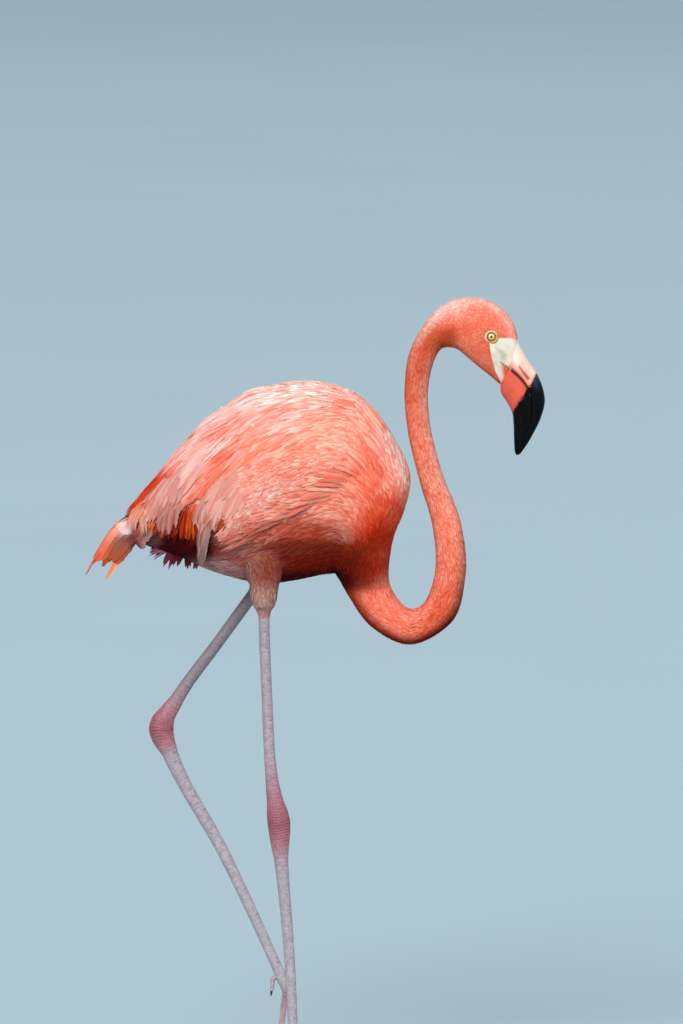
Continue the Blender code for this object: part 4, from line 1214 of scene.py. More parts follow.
@dataclass
class Body:
    """Trunk, neck and head: one skin, the coat on it, lids and eyes."""

    form: BodyForm
    face: Face
    markings: Markings
    eye_radius: float = 7.0
    eye_out: float = 1.9
    cornea: float = 0.35
    socket_depth: float = 4.0
    lid_inner: float = 4.9
    wing_edge: tuple = ((-207, -144, -91, -40, 20, 58), (645, 640, 646, 694, 722, 748))
    nodes: tuple = ("trunk", "neck_root", "neck_loop_lower", "neck_loop_upper", "neck_rise", "neck_middle",
                    "neck_upper", "head")

    def coat_depth(self, a: Array) -> Array:
        """Depth of the coat by section: deep on the trunk, thin on neck and head."""
        return np.interp(a, (0, 1.5, 11, 15, 18, 25, 27.5, 31), (2, 4.5, 4.5, 3.2, 2.2, 1.9, 0.9, 0.8))

    def skin(self) -> Surface:
        """Loft of the whole body, inset by the coat's depth where it is feathered.

        Round the eyes it dips into a socket; the bare face has three shallow folds that run from the
        eye down to the gape, and a pressed line along the gape. The face's hollow is painted grey green
        as shade, deeper in the troughs of the folds; the face is warmer at the bill and coral on the
        lower jaw. The pressed line along the gape is painted dark red as shade in the crease.
        """
        rows = np.concatenate([np.linspace(0, 15, 70), np.linspace(15, 26, 100)[1:],
                               np.linspace(26, 31, 190)[1:]])
        a, b = np.meshgrid(rows, np.linspace(0, 1, 160, endpoint=False), indexing="ij")
        frame = self.form.frame(a, b)
        x, z = frame.place[..., 0], frame.place[..., 2]
        head, jaw = a > 27, a > 28
        bare = self.face.bare(x, z) * head
        ring = self.face.ring_distance(x, z)
        near = head & (np.abs(np.sin(math.tau * b)) < 0.9)
        socket = smooth((0.86 - ring) / 0.16) * near
        wave = np.sin((x - 200) * 0.42 + (z - 835) * 0.30 + 0.8 * np.sin(z * 0.35))
        fold = wave * np.exp(-((z - 838) / 16) ** 2) * 0.55
        mouth = np.interp(x, *zip(*self.face.gape))
        lip = np.exp(-((z - mouth) / 0.75) ** 2) * smooth((x - 205) / 3) * jaw
        inset = fold - smooth((a - 30.2) / 0.8)
        lift = -self.coat_depth(a) * (1 - bare) + bare * inset - socket * self.socket_depth - lip
        # Painted shade: grey green in the face's hollow below the eye, deeper in the troughs of the folds.
        shade = np.exp(-((x - 208) / 9) ** 2 - ((z - 838) / 13) ** 2) * (0.5 + 0.3 * (1 - wave))
        join = smooth((along_bill(x, z, BILL_ROOT) + 12) / 10) * 0.9
        pale = blend(blend(linear("E4D8C6"), "9EA28C", shade * 0.7), "E8CCBC", join)
        coral = smooth((x - 206.6 + (z - 815) * 0.12) / 6.0) * smooth((mouth + 0.8 - z) / 2.2) * jaw
        colour = blend(self.markings.body(a, b, frame.place), pale, bare)
        # Painted shade: dark red brown along the pressed line of the gape.
        colour = blend(blend(colour, "D25A46", coral), "5A1E1A", lip)
        return Surface.tube(frame.place + frame.outward * lift[..., None], {"Marking": colour.clip(0, 1)})

    def coats(self) -> list[tuple[str, Surface]]:
        """Feathers of head, neck, breast and trunk, each field as its own piece."""
        coat = Coat(self.form, self.markings.body, 11)
        head = Tract((26.4, 31.0), (0, 1), (5.2, 3.8), (2.0, 1.5), gap=(0.3, 0.6), sink=0.9, rise=0.05,
                     thick=0.06, stray=3)
        upper = Tract((21.0, 27.0), (0, 1), (8.2, 5.4), (2.1, 1.8), gap=(0.35, 0.62), sink=1.8, rise=0.05,
                      thick=0.07, stray=4)
        lower = Tract((15.8, 21.2), (0, 1), (11.5, 8.2), (2.6, 2.15), gap=(0.34, 0.6), rise=0.1, stray=4)
        breast = Tract((9.4, 16.4), (0, 1), (26.0, 13.5), (3.7, 2.8), gap=(0.25, 0.53), sink=2.8,
                       rise=0.15, stations=5, fray=0.1, stray=4)
        flank = Tract((0.15, 9.8), (-0.5, 0.5), (24.0, 29.0), (4.6, 4.6), gap=(0.23, 0.52), sink=3.2,
                      rise=0.25, stations=6, fray=0.16, stray=6)
        ridge = Tract((3.0, 10.4), (0.2, 0.3), (44.0, 34.0), (6.0, 4.4), gap=(0.2, 0.5), sink=1.0,
                      rise=2.2, stations=8, fray=0.12, stray=4)
        mantle = Tract((9.6, 12.4), (-0.1, 0.6), (42.0, 32.0), (4.4, 3.8), gap=(0.18, 0.5), sink=1.5,
                       rise=2.4, stations=9, fray=0.12)
        bridge = Tract((5.0, 11.5), (-0.5, 0.5), (40.0, 36.0), (5.0, 4.6), gap=(0.15, 0.46), sink=1.5,
                       rise=7.5, stations=8, fray=0.16, stray=7)

        def off_face(line: Array) -> Array:
            """Keep feathers that start off the bare skin and never cross the ring of the eye."""
            x, z = line[..., 0], line[..., 2]
            return (self.face.bare(x[:, 0], z[:, 0]) < 0.35) & (self.face.ring_distance(x, z).min(1) > 0.98)

        def off_wing(line: Array) -> Array:
            """Keep feathers that the wings leave open: below their lower edge or between them on the back."""
            x, z = line[:, 2, 0], line[:, 2, 2]
            return (z < np.interp(x, *self.wing_edge) + 24) | (x > 52)

        def below_wing(line: Array) -> Array:
            """Keep feathers rooted in a band below the wing's lower edge."""
            x, z = line[:, 0, 0], line[:, 0, 2]
            below = np.interp(x, *self.wing_edge) - z
            return (below > -4) & (below < 34) & (x > -60) & (x < 66)

        def before_wing(line: Array) -> Array:
            """Keep feathers rooted in a band ahead of the wing."""
            x, z = line[:, 0, 0], line[:, 0, 2]
            return (x > 44) & (x < 84) & (z > 722)

        return [("back_coat", coat.field(ridge)),
                ("rump_spikes", Surface.joined([self.spikes(out) for out in (-14.0, 12.0)])),
                ("head_coat", coat.field(head, off_face)),
                ("upper_neck_coat", coat.field(upper)),
                ("lower_neck_coat", coat.field(lower)),
                ("breast_coat", coat.field(breast, off_wing)),
                ("flank_coat", coat.field(flank, off_wing)),
                ("shoulder_fringe", Surface.joined([coat.field(bridge, below_wing),
                                                    coat.field(mantle, before_wing)]))]

    def spikes(self, out: float) -> Surface:
        """Pointed dark mauve feathers that hang from the rump on an upright sheet.

        Args:
            out: Y of the sheet in mm.

        Returns:
            The feathers as one surface.
        """
        coat = Coat(SheetForm(out=out), lambda a, b, points: linear("5A2030") + np.zeros(points.shape), 17)
        rows = ((-158, 625, 26, 3.5, 16, 3, "8A5A6C"), (-150, 623, 21, 5.5, 50, 5, "6A2A3A"),
                (-143, 621, 17, 5.5, 62, 5, "4A1020"), (-136, 619, 16, 5, 76, 5, "46101E"),
                (-168, 627, 14, 4.5, 34, 3, "7A4450"), (-124, 614, 13, 5, 60, 4, "6A3440"))
        (x, z, length, width, slope), colour = bundles(rows)
        count = len(x)
        shape = Tract((0, 1), (0, 1), (1, 1), (1, 1), sink=0.5, rise=1.5, thick=0.4, stations=10, fray=0.12,
                      outline=((0, 0.3, 0.8, 1), (0.7, 1, 0.4, 0.05)), camber=0.1, stray=7, curl=14)
        x, length = x + coat.rng.normal(0, 1.6, count), length * coat.rng.uniform(0.75, 1.05, count)
        tint = Tint(np.ones((count, 3)), colour * coat.rng.uniform(0.7, 1.4, (count, 1)),
                    np.full((count, 1), 0.95))
        return coat.vanes(shape, x, z, length, width, np.radians(slope), tint)

    def lid(self, side: Side) -> Surface:
        """Ring of bare skin round an eye: an oval tube lying on the head, pinched by fine creases.

        Args:
            side: Side of the eye.

        Returns:
            The ring, drawn out to a point at its lower front, darker at its inner edge.
        """
        turn, around = np.meshgrid(circle(120),
                                   circle(20), indexing="ij")
        outer = np.hypot(self.face.ring[0] * np.cos(turn), self.face.ring[1] * np.sin(turn)) \
            + 1.6 * np.exp(-((turn - 5.5) / 0.6) ** 2)
        middle, half = (outer + self.lid_inner) / 2, (outer - self.lid_inner) / 2
        crease = 0.10 * np.sin(turn * 23) * np.clip(np.sin(around), 0, 1)
        reach = middle + half * np.cos(around)
        x = self.face.eye[0] + reach * np.cos(turn)
        z = self.face.eye[1] + reach * np.sin(turn)
        out = self.form.side_of_head(x, z) + 0.15 + (0.75 + crease) * np.sin(around)
        points = np.stack([x, side.value * out, z], axis=-1)
        index = np.arange(turn.size).reshape(turn.shape)
        wrap = np.roll(index, -1, 0)
        faces = np.stack([index, np.roll(index, -1, 1), np.roll(wrap, -1, 1), wrap], axis=-1).reshape(-1, 4)
        colour = blend(linear("DAC69E"), "C09054", smooth(0.5 + 0.6 * np.cos(turn - 5.3)).ravel())
        colour = blend(colour, "9A7040", smooth((self.lid_inner + 0.5 - reach.ravel()) / 0.5))
        return Surface(points.reshape(-1, 3), [faces], {"Marking": colour})

    def eye(self, side: Side) -> Surface:
        """Eyeball with a slight corneal bulge: its radius grows towards the axis.

        Args:
            side: Side of the eye.

        Returns:
            The eyeball, with each point's distance from the axis as Disc; 9 mm on its rear half.
        """
        x, z = self.face.eye
        depth = float(self.form.side_of_head(np.array(x), np.array(z))) + self.eye_out - self.eye_radius
        polar, turn = np.meshgrid(np.linspace(0.02, math.pi - 0.02, 48),
                                  circle(64), indexing="ij")
        radius = self.eye_radius - self.cornea + self.cornea * np.exp(-(polar / 0.6) ** 2)
        rings = np.stack([x + radius * np.sin(polar) * np.cos(turn),
                          side.value * (depth + radius * np.cos(polar)),
                          z + radius * np.sin(polar) * np.sin(turn)], axis=-1)
        disc = np.where(polar < math.pi / 2, radius * np.sin(polar), 9.0)
        return Surface.tube(rings, {"Disc": disc})

    def build(self, plumage: Material, skin: Material, glass: Material) -> None:
        """Make the skin, the coats, the lids and the eyes.

        Args:
            plumage: Finish of the feathers.
            skin: Finish of the skin and the lids.
            glass: Finish of the eyes.
        """
        place(self.skin().make("body_skin", skin), "plumage", *self.nodes)
        for name, coat in self.coats():
            place(coat.make(name, plumage), "neck_plumage" if "neck" in name else "plumage")
        for side in Side:
            place(self.lid(side).make("lid_" + side.label, skin), "plumage")
            place(self.eye(side).make("glass_eye_" + side.label, glass), "eye", "eye_" + side.label)


@dataclass
class Bill:
    """Upper and lower bill, each a loft between its ridge line and the gape."""

    sections: tuple = (
        ((227.5, 849.5), (217.5, 822.3), (206.8, 805), 13.0, 13.0),
        ((236.9, 832.6), (224.5, 816.7), (207.6, 796.1), 12.5, 13.8),
        ((246.4, 818.2), (230.5, 810.5), (213.8, 786.1), 11.8, 14.0),
        ((252.6, 804.4), (236, 802.5), (219.6, 775), 10.8, 13.6),
        ((255.8, 788), (240, 790), (221.2, 762.9), 9.4, 12.6),
        ((251.8, 769.6), (240.3, 774), (221.7, 749.6), 7.6, 10.6),
        ((243.6, 752), (236, 756), (222.2, 738), 5.8, 8.0),
        ((235.4, 737.8), (230.6, 740.6), (222.9, 730.8), 4.0, 5.2),
        ((229, 729), (226.9, 728), (224.6, 727.6), 1.8, 2.2))
    nostril: tuple = ((226.5, 826.5), (238.0, 811.5))
    gap: float = 0.12
    parting: tuple[float, float] = (0.905, -0.425)  # direction in which the gap sets it off the head
    bend: tuple[float, float] = (233, 797)  # X and Z where the black tip begins
    chin: tuple[float, float] = (209, 806)  # X and Z where the lower half begins

    def half(self, upper: bool) -> Surface:
        """One half of the bill with its colours.

        Round a section the outline runs over the ridge on the 0.8th power of a sine and back flat
        along the gape. The nostril is a slit pressed into the upper half's sides.

        Args:
            upper: True for the upper half.

        Returns:
            A closed surface with its Marking.
        """
        rows = np.array([(*(culmen if upper else keel), *gape, top if upper else low)
                         for culmen, gape, keel, top, low in self.sections], float)
        read = spline(rows, np.linspace(-0.22, len(rows) - 1, 206))
        outer, gape, half = read[:, 0:2], read[:, 2:4], read[:, 4]
        span = np.linalg.norm(outer - gape, axis=1)[:, None]
        gape = gape + (outer - gape) * (self.gap / 2) / span
        turn, under = np.linspace(0, math.pi, 64), np.linspace(-1, 1, 18)[1:-1]
        across = np.concatenate([np.cos(turn), under])
        up = np.concatenate([0.16 * smooth(turn * 3) * smooth((math.pi - turn) * 3)
                             + 0.84 * np.sin(turn).clip(0) ** 0.8, 0.05 * (1 - under**2)])
        flat = gape[:, None] + (outer - gape)[:, None] * up[:, None]
        x, z = flat[..., 0], flat[..., 1]
        y = half[:, None] * across
        start, end = np.array(self.nostril, float)
        way = end - start
        share = ((x - start[0]) * way[0] + (z - start[1]) * way[1]) / (way @ way)
        off = ((x - start[0]) * way[1] - (z - start[1]) * way[0]) / math.hypot(*way)
        slit = np.zeros_like(x)
        if upper:
            wide = 0.7 + 0.9 * np.clip(share, 0, 1)
            ends = smooth(share * 6 + 0.5) * smooth((1 - share) * 6 + 0.5)
            slit = np.exp(-(off / wide) ** 2) * ends * (up > 0.1)
            y = y - np.sign(across) * 1.5 * slit
        points = np.stack([x + self.parting[0] * self.gap, y, z + self.parting[1] * self.gap], axis=-1)
        return Surface.tube(points, {"Marking": self.colours(upper, x, z, up, slit)})

    def colours(self, upper: bool, x: Array, z: Array, up: Array, slit: Array) -> Array:
        """Cream at the face, coral towards the gape and on the lower half, black beyond the bend.

        The crease along the gape and the nostril's slit are painted dark as shade, and the upper
        side of the black near the bend carries a painted sheen of blue grey.

        Args:
            upper: True for the upper half.
            x: X of the points in mm.
            z: Z of the points in mm.
            up: Height of the points over the gape, as a share.
            slit: Depth of the nostril at the points, as a share.

        Returns:
            Colours of the points.
        """
        wobble = 0.4 * np.sin(x * 0.7) + np.random.default_rng(5).normal(0, 0.7, x.shape)
        beyond, from_root = along_bill(x, z, self.bend), along_bill(x, z, BILL_ROOT)
        if upper:
            near = smooth((from_root - 2) / 12) * (1 - 0.7 * smooth((up - 0.5) / 0.4))
            base = blend(linear("E9D2C3"), "E8AC94", near)
            base = blend(base, "E67E66", smooth((0.42 - up) / 0.25) * 0.75)
        else:
            base = blend(linear("EBCDB8"), "D25A46", smooth((along_bill(x, z, self.chin) + 9) / 6))
        # Painted shade: a near-black line in the crease along the gape, and the nostril's slit darker.
        lip = smooth(((0.12 if upper else 0.07) - up) / 0.04) * (up >= 0) * smooth((x - 216) / 4)
        base = blend(blend(base, "300A0A", lip * 0.9), "7A2E26", slit)
        # Painted sheen: blue grey on the upper side of the black near the bend, standing in for a reflection.
        edge = smooth((14 - beyond) / 12) * smooth((up - 0.3) / 0.4) * upper
        horn = blend(linear("020203"), "2C3A48", edge * 0.7)
        return blend(base, horn, smooth((beyond + wobble) / 2.6 + 0.5)).clip(0, 1)

    def build(self, horn: Material) -> None:
        """Make both halves."""
        for name, upper in (("upper", True), ("lower", False)):
            place(self.half(upper).make("horn_bill_" + name, horn), "bill", "bill_" + name)


@dataclass
class Wing:
    """One closed wing: a thin skin and its feathers in layers."""

    side: Side
    markings: Markings
    streaks: tuple = (
        (-60, 785, 70, 6, 31, 2.4, 12, "E8532A"), (-62, 760, 60, 5, 31, 2.0, 9, "E64E26"),
        (-96, 718, 36, 6, 54, 2.0, 7, "E85A2E"), (-100, 762, 56, 6, 40, 3.0, 8, "F4907A"),
        (-78, 738, 52, 6, 40, 3.0, 8, "EA6C4C"), (-128, 738, 50, 5, 46, 2.0, 7, "E5502C"),
        (-70, 772, 66, 5, 33, 2.0, 8, "FFC4BC"), (-80, 792, 60, 6, 33, 2.0, 8, "FFD4CE"),
        (-142, 725, 56, 4.5, 45, 1.4, 10, "DC3A1E"), (-162, 705, 50, 4, 46, 1.4, 12, "D8341A"),
        (-158, 698, 48, 5, 50, 3.0, 8, "E5602E"), (-50, 804, 30, 8, 8, 1.0, 3, "FFE4DC"),
        (-86, 676, 26, 5, 62, 4.0, 12, "A02C10"))
    plumes: tuple = (
        (-152, 706, 50, 10, 52, 5.0, 8, "BC8078"), (-138, 702, 58, 10, 56, 5.0, 8, "B8857E"),
        (-142, 716, 48, 10, 54, 6.0, 7, "CFA096"), (-122, 734, 60, 12, 50, 6.0, 9, "C48E88"),
        (-96, 706, 54, 11, 62, 6.0, 12, "CC988C"), (-80, 716, 56, 12, 54, 6.0, 10, "DCA596"),
        (-62, 722, 54, 10, 42, 7.0, 9, "D69A8A"), (-108, 742, 56, 11, 46, 7.0, 9, "E4AAA0"),
        (-171, 690, 50, 7, 52, 5.0, 14, "DC9A80"), (-160, 696, 42, 7, 56, 4.0, 8, "E8A080"))
    hanging: tuple = ((-98, 700, 76, 8, 80, 4.0, 12, "C09088"), (-98, 696, 92, 6, 83, 3.0, 10, "BC8E86"))
    window: tuple = (
        (-108, 676, 40, 4.5, 80, 6, 12, "8A2406"), (-122, 686, 48, 5, 76, 5, 14, "DC5608"),
        (-122, 684, 48, 4, 80, 11, 18, "701002"), (-134, 678, 40, 5, 76, 5, 8, "B83806"),
        (-142, 670, 32, 4, 78, 8, 12, "5A0C02"), (-154, 670, 30, 5, 72, 5, 12, "C84C0C"),
        (-166, 674, 28, 5, 66, 6, 10, "DC6A24"), (-160, 670, 30, 4, 72, 8, 10, "8A1A04"))

    def __post_init__(self) -> None:
        """Lay out the wing's outer face."""
        self.form = WingForm(side=self.side)

    def skin(self) -> Surface:
        """Shell between 4.5 and 6.5 mm under the outer face, folded at its edges."""
        a, b = np.meshgrid(np.linspace(54, -200, 90), np.linspace(0.08, 0.98, 40), indexing="ij")
        outer, inner = self.form.lifted(a, b, -4.5), self.form.lifted(a, b, -6.5)
        rings = np.concatenate([outer, inner[:, ::-1]], axis=1)
        return Surface.tube(rings, {"Marking": self.markings.wing(rings)})

    def mixed(self, a: Array, b: Array, rng: np.random.Generator) -> Tint:
        """Tint up to two feathers in five coral, most in the middle of the wing, and one in six pale.

        Args:
            a: X of the roots in mm.
            b: Second coordinate of the roots.
            rng: Random numbers of the coat.

        Returns:
            The change of each feather.
        """
        draw, size = rng.uniform(0, 1, len(a)), rng.uniform(0.5, 1, (len(a), 1))
        coral = (draw < 0.08 + 0.3 * np.exp(-((a + 75) / 70) ** 2))[:, None]
        pale = (draw > 0.82)[:, None]
        colour = np.where(coral, linear("E86A42"), linear("FDD3C8"))
        return Tint(np.ones((len(a), 3)), colour, np.where(coral, 0.8, np.where(pale, 0.5, 0.0)) * size)

    def coats(self) -> list[tuple[str, Surface]]:
        """Small feathers at the shoulder, long ones behind and long loose plumes along the lower rear."""
        seed = 40 if self.side is Side.RIGHT else 80
        coat = Coat(self.form, lambda a, b, points: self.markings.wing(points), seed)
        pointed = ((0.0, 0.3, 0.6, 0.85, 1.0), (0.5, 0.9, 1.0, 0.62, 0.06))
        soft = ((0.0, 0.2, 0.5, 0.8, 0.92, 1.0), (0.4, 0.7, 1.0, 0.85, 0.5, 0.05))
        under = Tract((-172, 48), (0.0, 1.0), (40, 30), (5, 8), gap=(0.34, 0.56), stations=6, sink=4.0,
                      rise=-1.0, thick=0.1, fray=0.1, camber=0.06)
        shoulder = Tract((-18, 57), (0.02, 1.0), (46, 30), (6.0, 4.0), gap=(0.2, 0.56), stations=8, sink=2.2,
                         rise=0.4, outline=pointed, fray=0.14)
        upper = Tract((-172, -2), (0.12, 1.0), (84, 58), (8.5, 8.5), gap=(0.18, 0.56), stations=14, sides=5,
                      sink=2.4, rise=0.5, thick=0.1, outline=pointed, fray=0.16, camber=0.1, round=0.5)
        fluff = Tract((-78, 56), (-0.28, 0.26), (36, 30), (4.2, 3.8), gap=(0.2, 0.54), stations=9,
                      rise=0.8, fray=0.2, stray=8)

        def off_window(line: Array) -> Array:
            """Keep long feathers that end above the open band along the rear lower edge."""
            x, z = line[:, -1, 0], line[:, -1, 2]
            return ((z > 658 + 22 * np.exp(-((x + 134) / 14) ** 2)) | (x > -84)) & (x > -206)

        def off_thigh(line: Array) -> Array:
            """Keep flank feathers whose tips stay above the thigh."""
            return line[:, -1, 2] > 636

        curl = Coat(self.form, self.markings.fluff, seed + 7)
        return [("cover", Surface.joined([coat.field(under, off_window), coat.field(shoulder)])),
                ("long_feathers", coat.field(upper, off_window, tint=self.mixed)),
                ("window", self.listed(coat, self.window, -0.6)),
                ("streaks", self.listed(coat, self.streaks, 1.0, outline=pointed)),
                ("plumes", Surface.joined([
                    self.listed(coat, self.plumes, 1.8, outline=soft, curl=34, stray=8),
                    self.listed(coat, self.hanging, 2.2, outline=soft, curl=10, stray=2.5)])),
                ("flank_fluff", curl.field(fluff, off_thigh, -0.25))]

    def listed(self, coat: Coat, rows: tuple, rise: float, **more: float | tuple) -> Surface:
        """Bundles of long feathers at listed places.

        Args:
            coat: Coat that grows them.
            rows: Each bundle's root in X and Z, length, width, slope below level, spread, count and colour.
            rise: Height of the tips over the wing's face, in mm.
            more: Other measures of their tract.

        Returns:
            The feathers as one surface.
        """
        (x, z, length, width, slope, spread), colour = bundles(rows)
        x = x + coat.rng.uniform(-1, 1, len(x)) * spread
        z = z + coat.rng.uniform(-1, 1, len(x)) * spread
        b = self.form.across_at(x, z)
        turn = np.radians(slope - self.form.slope(x, b))
        shade = coat.rng.uniform(0.8, 1.08, (len(x), 1))
        shape = Tract((0, 1), (0, 1), (1, 1), (1, 1), stations=18, sides=5, sink=1.2 - min(rise, 0),
                      rise=rise, thick=0.1, fray=0.2, camber=0.1, round=0.6, **more)
        tint = Tint(np.ones((len(x), 3)), colour * shade, np.full((len(x), 1), 0.9))
        return coat.vanes(shape, x, b, length * coat.rng.uniform(0.85, 1.05, len(x)),
                          width * coat.rng.uniform(0.6, 1, len(x)), turn, tint)

    def build(self, plumage: Material, skin: Material) -> None:
        """Make the skin and the layers of feathers."""
        label = self.side.label
        place(self.skin().make("wing_skin_" + label, skin), "wing_plumage", "wing_" + label)
        for name, coat in self.coats():
            place(coat.make(f"wing_{name}_{label}", plumage), "wing_plumage")


@dataclass
class Tail:
    """The fan of tail feathers with the coverts over and under its root."""

    form: TailForm
    markings: Markings
    lengths: tuple = ((0, 0.3, 0.6, 0.8, 1), (86, 80, 70, 58, 54))  # place across and length in mm

    def colours(self, a: Array, b: Array, points: Array) -> Array:
        """Peach, redder towards the tips, with a white patch near the root, and brown along both edges as
        painted shade.
        """
        tip, edge = smooth((-a - 0.4) / 0.5), smooth((np.abs(b) - 0.48) / 0.16)
        # Painted shade: brown along both edges of the fan, darker brown towards its tips.
        brown = blend(linear("74423A"), "96441C", tip)
        base = blend(blend(linear("E09078"), "D65E42", tip), brown, 0.9 * edge)
        return self.markings.over(base, points[..., 0], points[..., 2], self.markings.tail_patches)

    def coats(self) -> Surface:
        """Three layers of blunt vanes across the fan, short coverts, and pointed ones at middle and edges."""
        coat = Coat(self.form, self.colours, 130)
        blunt = ((0.0, 0.3, 0.6, 0.9, 1.0), (0.6, 0.85, 1.0, 0.85, 0.35))
        thin = ((0.0, 0.3, 0.6, 0.8, 1.0), (0.5, 1.0, 0.9, 0.45, 0.05))
        parts = []
        # Each layer: places across, root, share of the length, width, depth, own colour and its share.
        for b, root, reach, width, lower, colour, share, outline in (
                (np.linspace(-0.95, 0.95, 15), 0.05, 1.0, 13, 1.2, "000000", 0.0, blunt),
                (np.linspace(-0.9, 0.9, 14), 0.1, 0.93, 13, -0.2, "000000", 0.0, blunt),
                # The deepest layer, under the fan, is tinted brown as painted shade.
                (np.linspace(-0.95, 0.95, 13), 0.04, 0.96, 13, 3.0, "8A4630", 0.6, blunt),
                (np.linspace(-0.6, 0.6, 9), 0.0, 0.5, 13, -1.0, "000000", 0.0, blunt),
                (np.linspace(-0.1, 0.1, 5), 0.12, 1.08, 5, 0.4, "D06A5C", 0.8, thin),
                (np.array([-0.98, -0.95, -0.92, 0.92, 0.95, 0.98]), 0.3, 1.14, 10, 2.0, "F0906C", 0.85,
                 thin)):
            count = len(b)
            b = b + coat.rng.uniform(-0.02, 0.02, count)
            length = reach * np.interp(np.abs(b), *self.lengths) * coat.rng.uniform(0.96, 1.02, count)
            vane = Tract((-1, 0), (-1, 1), (1, 1), (1, 1), stations=16, sides=5, sink=lower + 0.6,
                         rise=-lower, thick=0.4, outline=outline, camber=0.16, stray=2)
            tint = Tint(coat.rng.uniform(0.88, 1.1, (count, 1)) * np.ones((1, 3)),
                        np.tile(linear(colour), (count, 1)), np.full((count, 1), share))
            parts.append(coat.vanes(vane, np.full(count, -root), b, length, np.full(count, width), 0.0, tint))
        return Surface.joined(parts)

    def build(self, plumage: Material) -> None:
        """Make the fan."""
        place(self.coats().make("tail_vanes", plumage), "tail_plumage", "tail")


@dataclass
class Leg:
    """One leg: a scaled skin from the knee to the toes' root with a coat on the thigh."""

    side: Side
    scute: float = 4.5  # mm from one ring of the shank to the next
    wrinkle: float = 3.1  # mm from one wrinkle of the ankle to the next
    deepest: float = 0.45  # depth of the wrinkles in mm
    cuff_depth: float = 2.5

    def __post_init__(self) -> None:
        """Lay out the leg's surface."""
        self.form = LegForm(side=self.side)

    def scutes(self, t: Array, b: Array) -> Array:
        """Depth of the grooves in mm: rings between scutes, deepest in front, and wrinkles at the ankle.

        Both are bell curves of the distance along the leg within one ring or wrinkle, which sways a
        little round the leg.

        Args:
            t: Place on the leg's line.
            b: Turn round it, from 0 to 1.

        Returns:
            The depth at each point.
        """
        line = self.form.line
        arc = np.concatenate([[0], np.cumsum(np.linalg.norm(np.diff(line, axis=0), axis=1))])
        far = np.interp(t, np.arange(len(line)), arc)
        front = smooth((np.cos(math.tau * (b - 0.75)) + 0.2) / 0.7)
        sway = 0.6 * np.sin(b * math.tau * 3 + far * 0.05)
        saw = (far / self.scute + sway * 0.15) % 1.0
        rings = np.exp(-(np.minimum(saw, 1 - saw) / 0.12) ** 2) * (0.35 + 0.65 * front)
        ankle = np.exp(-((t - 4.1) / 0.55) ** 2)
        wrinkle = np.exp(-(np.abs((far / self.wrinkle + sway * 0.4) % 1.0 - 0.5) / 0.16) ** 2)
        return rings * (1 - ankle) * 0.28 + wrinkle * ankle * self.deepest

    def colours(self, t: Array, b: Array) -> Array:
        """Cream-orange down under the cuff, mauve pink below, red pink at the ankle, greyer on the shank.

        The far leg is painted darker towards its top as shade under the body.
        """
        keys = (0.0, 0.98, 1.06, 2.6, 3.45, 4.0, 4.6, 5.1, 7.0)
        codes = ("C08A74", "B98E80", "A5949C", "A9979F", "A86A74", "9C505C", "AC717B", "A89AA4", "ABA2AB")
        tones = np.array([linear(code) for code in codes])
        base = np.stack([np.interp(t, keys, column) for column in tones.T], axis=-1)
        # Painted shade: the far leg darkens towards its top, where the body's shadow falls on it.
        if self.side is Side.LEFT:
            base = base * (1 - 0.42 * smooth((3.6 - t) / 1.2))[..., None]
        return base * (1 - 0.12 * np.clip(np.cos(math.tau * (b - 0.25)), 0, 1))[..., None]

    def skin(self) -> Surface:
        """Swept skin, inset under the cuff, pressed in by the grooves of its scutes and closed below."""
        t = np.concatenate([np.linspace(0.02, 1, 30), np.linspace(1, 7, 400)[1:], [7.02, 7.04, 7.055]])
        a, b = np.meshgrid(-t, np.linspace(0, 1, 36, endpoint=False), indexing="ij")
        frame = self.form.frame(a, b)
        cuff = smooth((1.02 + a) / 0.1)
        groove = self.scutes(-a, b) * (1 - cuff)
        close = 3.6 * smooth((-a - 7.0) / 0.055)
        lift = -self.cuff_depth * cuff - groove - close
        return Surface.tube(frame.place + frame.outward * lift[..., None],
                            {"Marking": self.colours(-a, b), "Groove": groove / self.deepest})

    def coat(self) -> Surface:
        """Short soft feathers of the thigh, and longer ones at its top that turn back."""
        def colours(a: Array, b: Array, points: Array) -> Array:
            """Red brown at the top, dusty mauve behind it, dusty pink lower down."""
            deep = blend(linear("8A4030"), "A06A60", smooth((-points[..., 0] - 50) / 30))
            return blend(deep, "AA7E72", smooth((-a - 0.35) / 0.4))

        coat = Coat(self.form, colours, 150 + int(self.side.value))
        cuff = Tract((-0.93, -0.05), (0, 1), (13, 20), (2.8, 4.0), gap=(0.24, 0.6), stations=6, sink=2.6,
                     rise=0.5, thick=0.12, fray=0.16, camber=0.14, stray=9)
        top = Tract((-0.15, 0.42), (0, 1), (22, 27), (4.4, 5.0), gap=(0.22, 0.56), stations=6, sink=2.6,
                    rise=0.8, thick=0.12, fray=0.16, camber=0.14, stray=12)
        return Surface.joined([coat.field(cuff), coat.field(top, turn=-0.5)])

    def build(self, skin: Material, plumage: Material, toes: Foot) -> None:
        """Make the skin with the foot, and the coat."""
        label = self.side.label
        whole = Surface.joined([self.skin(), *toes.surfaces(self.form)])
        place(whole.make("leg_skin_" + label, skin), "leg_skin",
              *(name + "_" + label for name in ("thigh", "tibia", "ankle", "tarsus", "foot", "hind_toe")))
        place(self.coat().make("thigh_coat_" + label, plumage), "thigh_plumage")


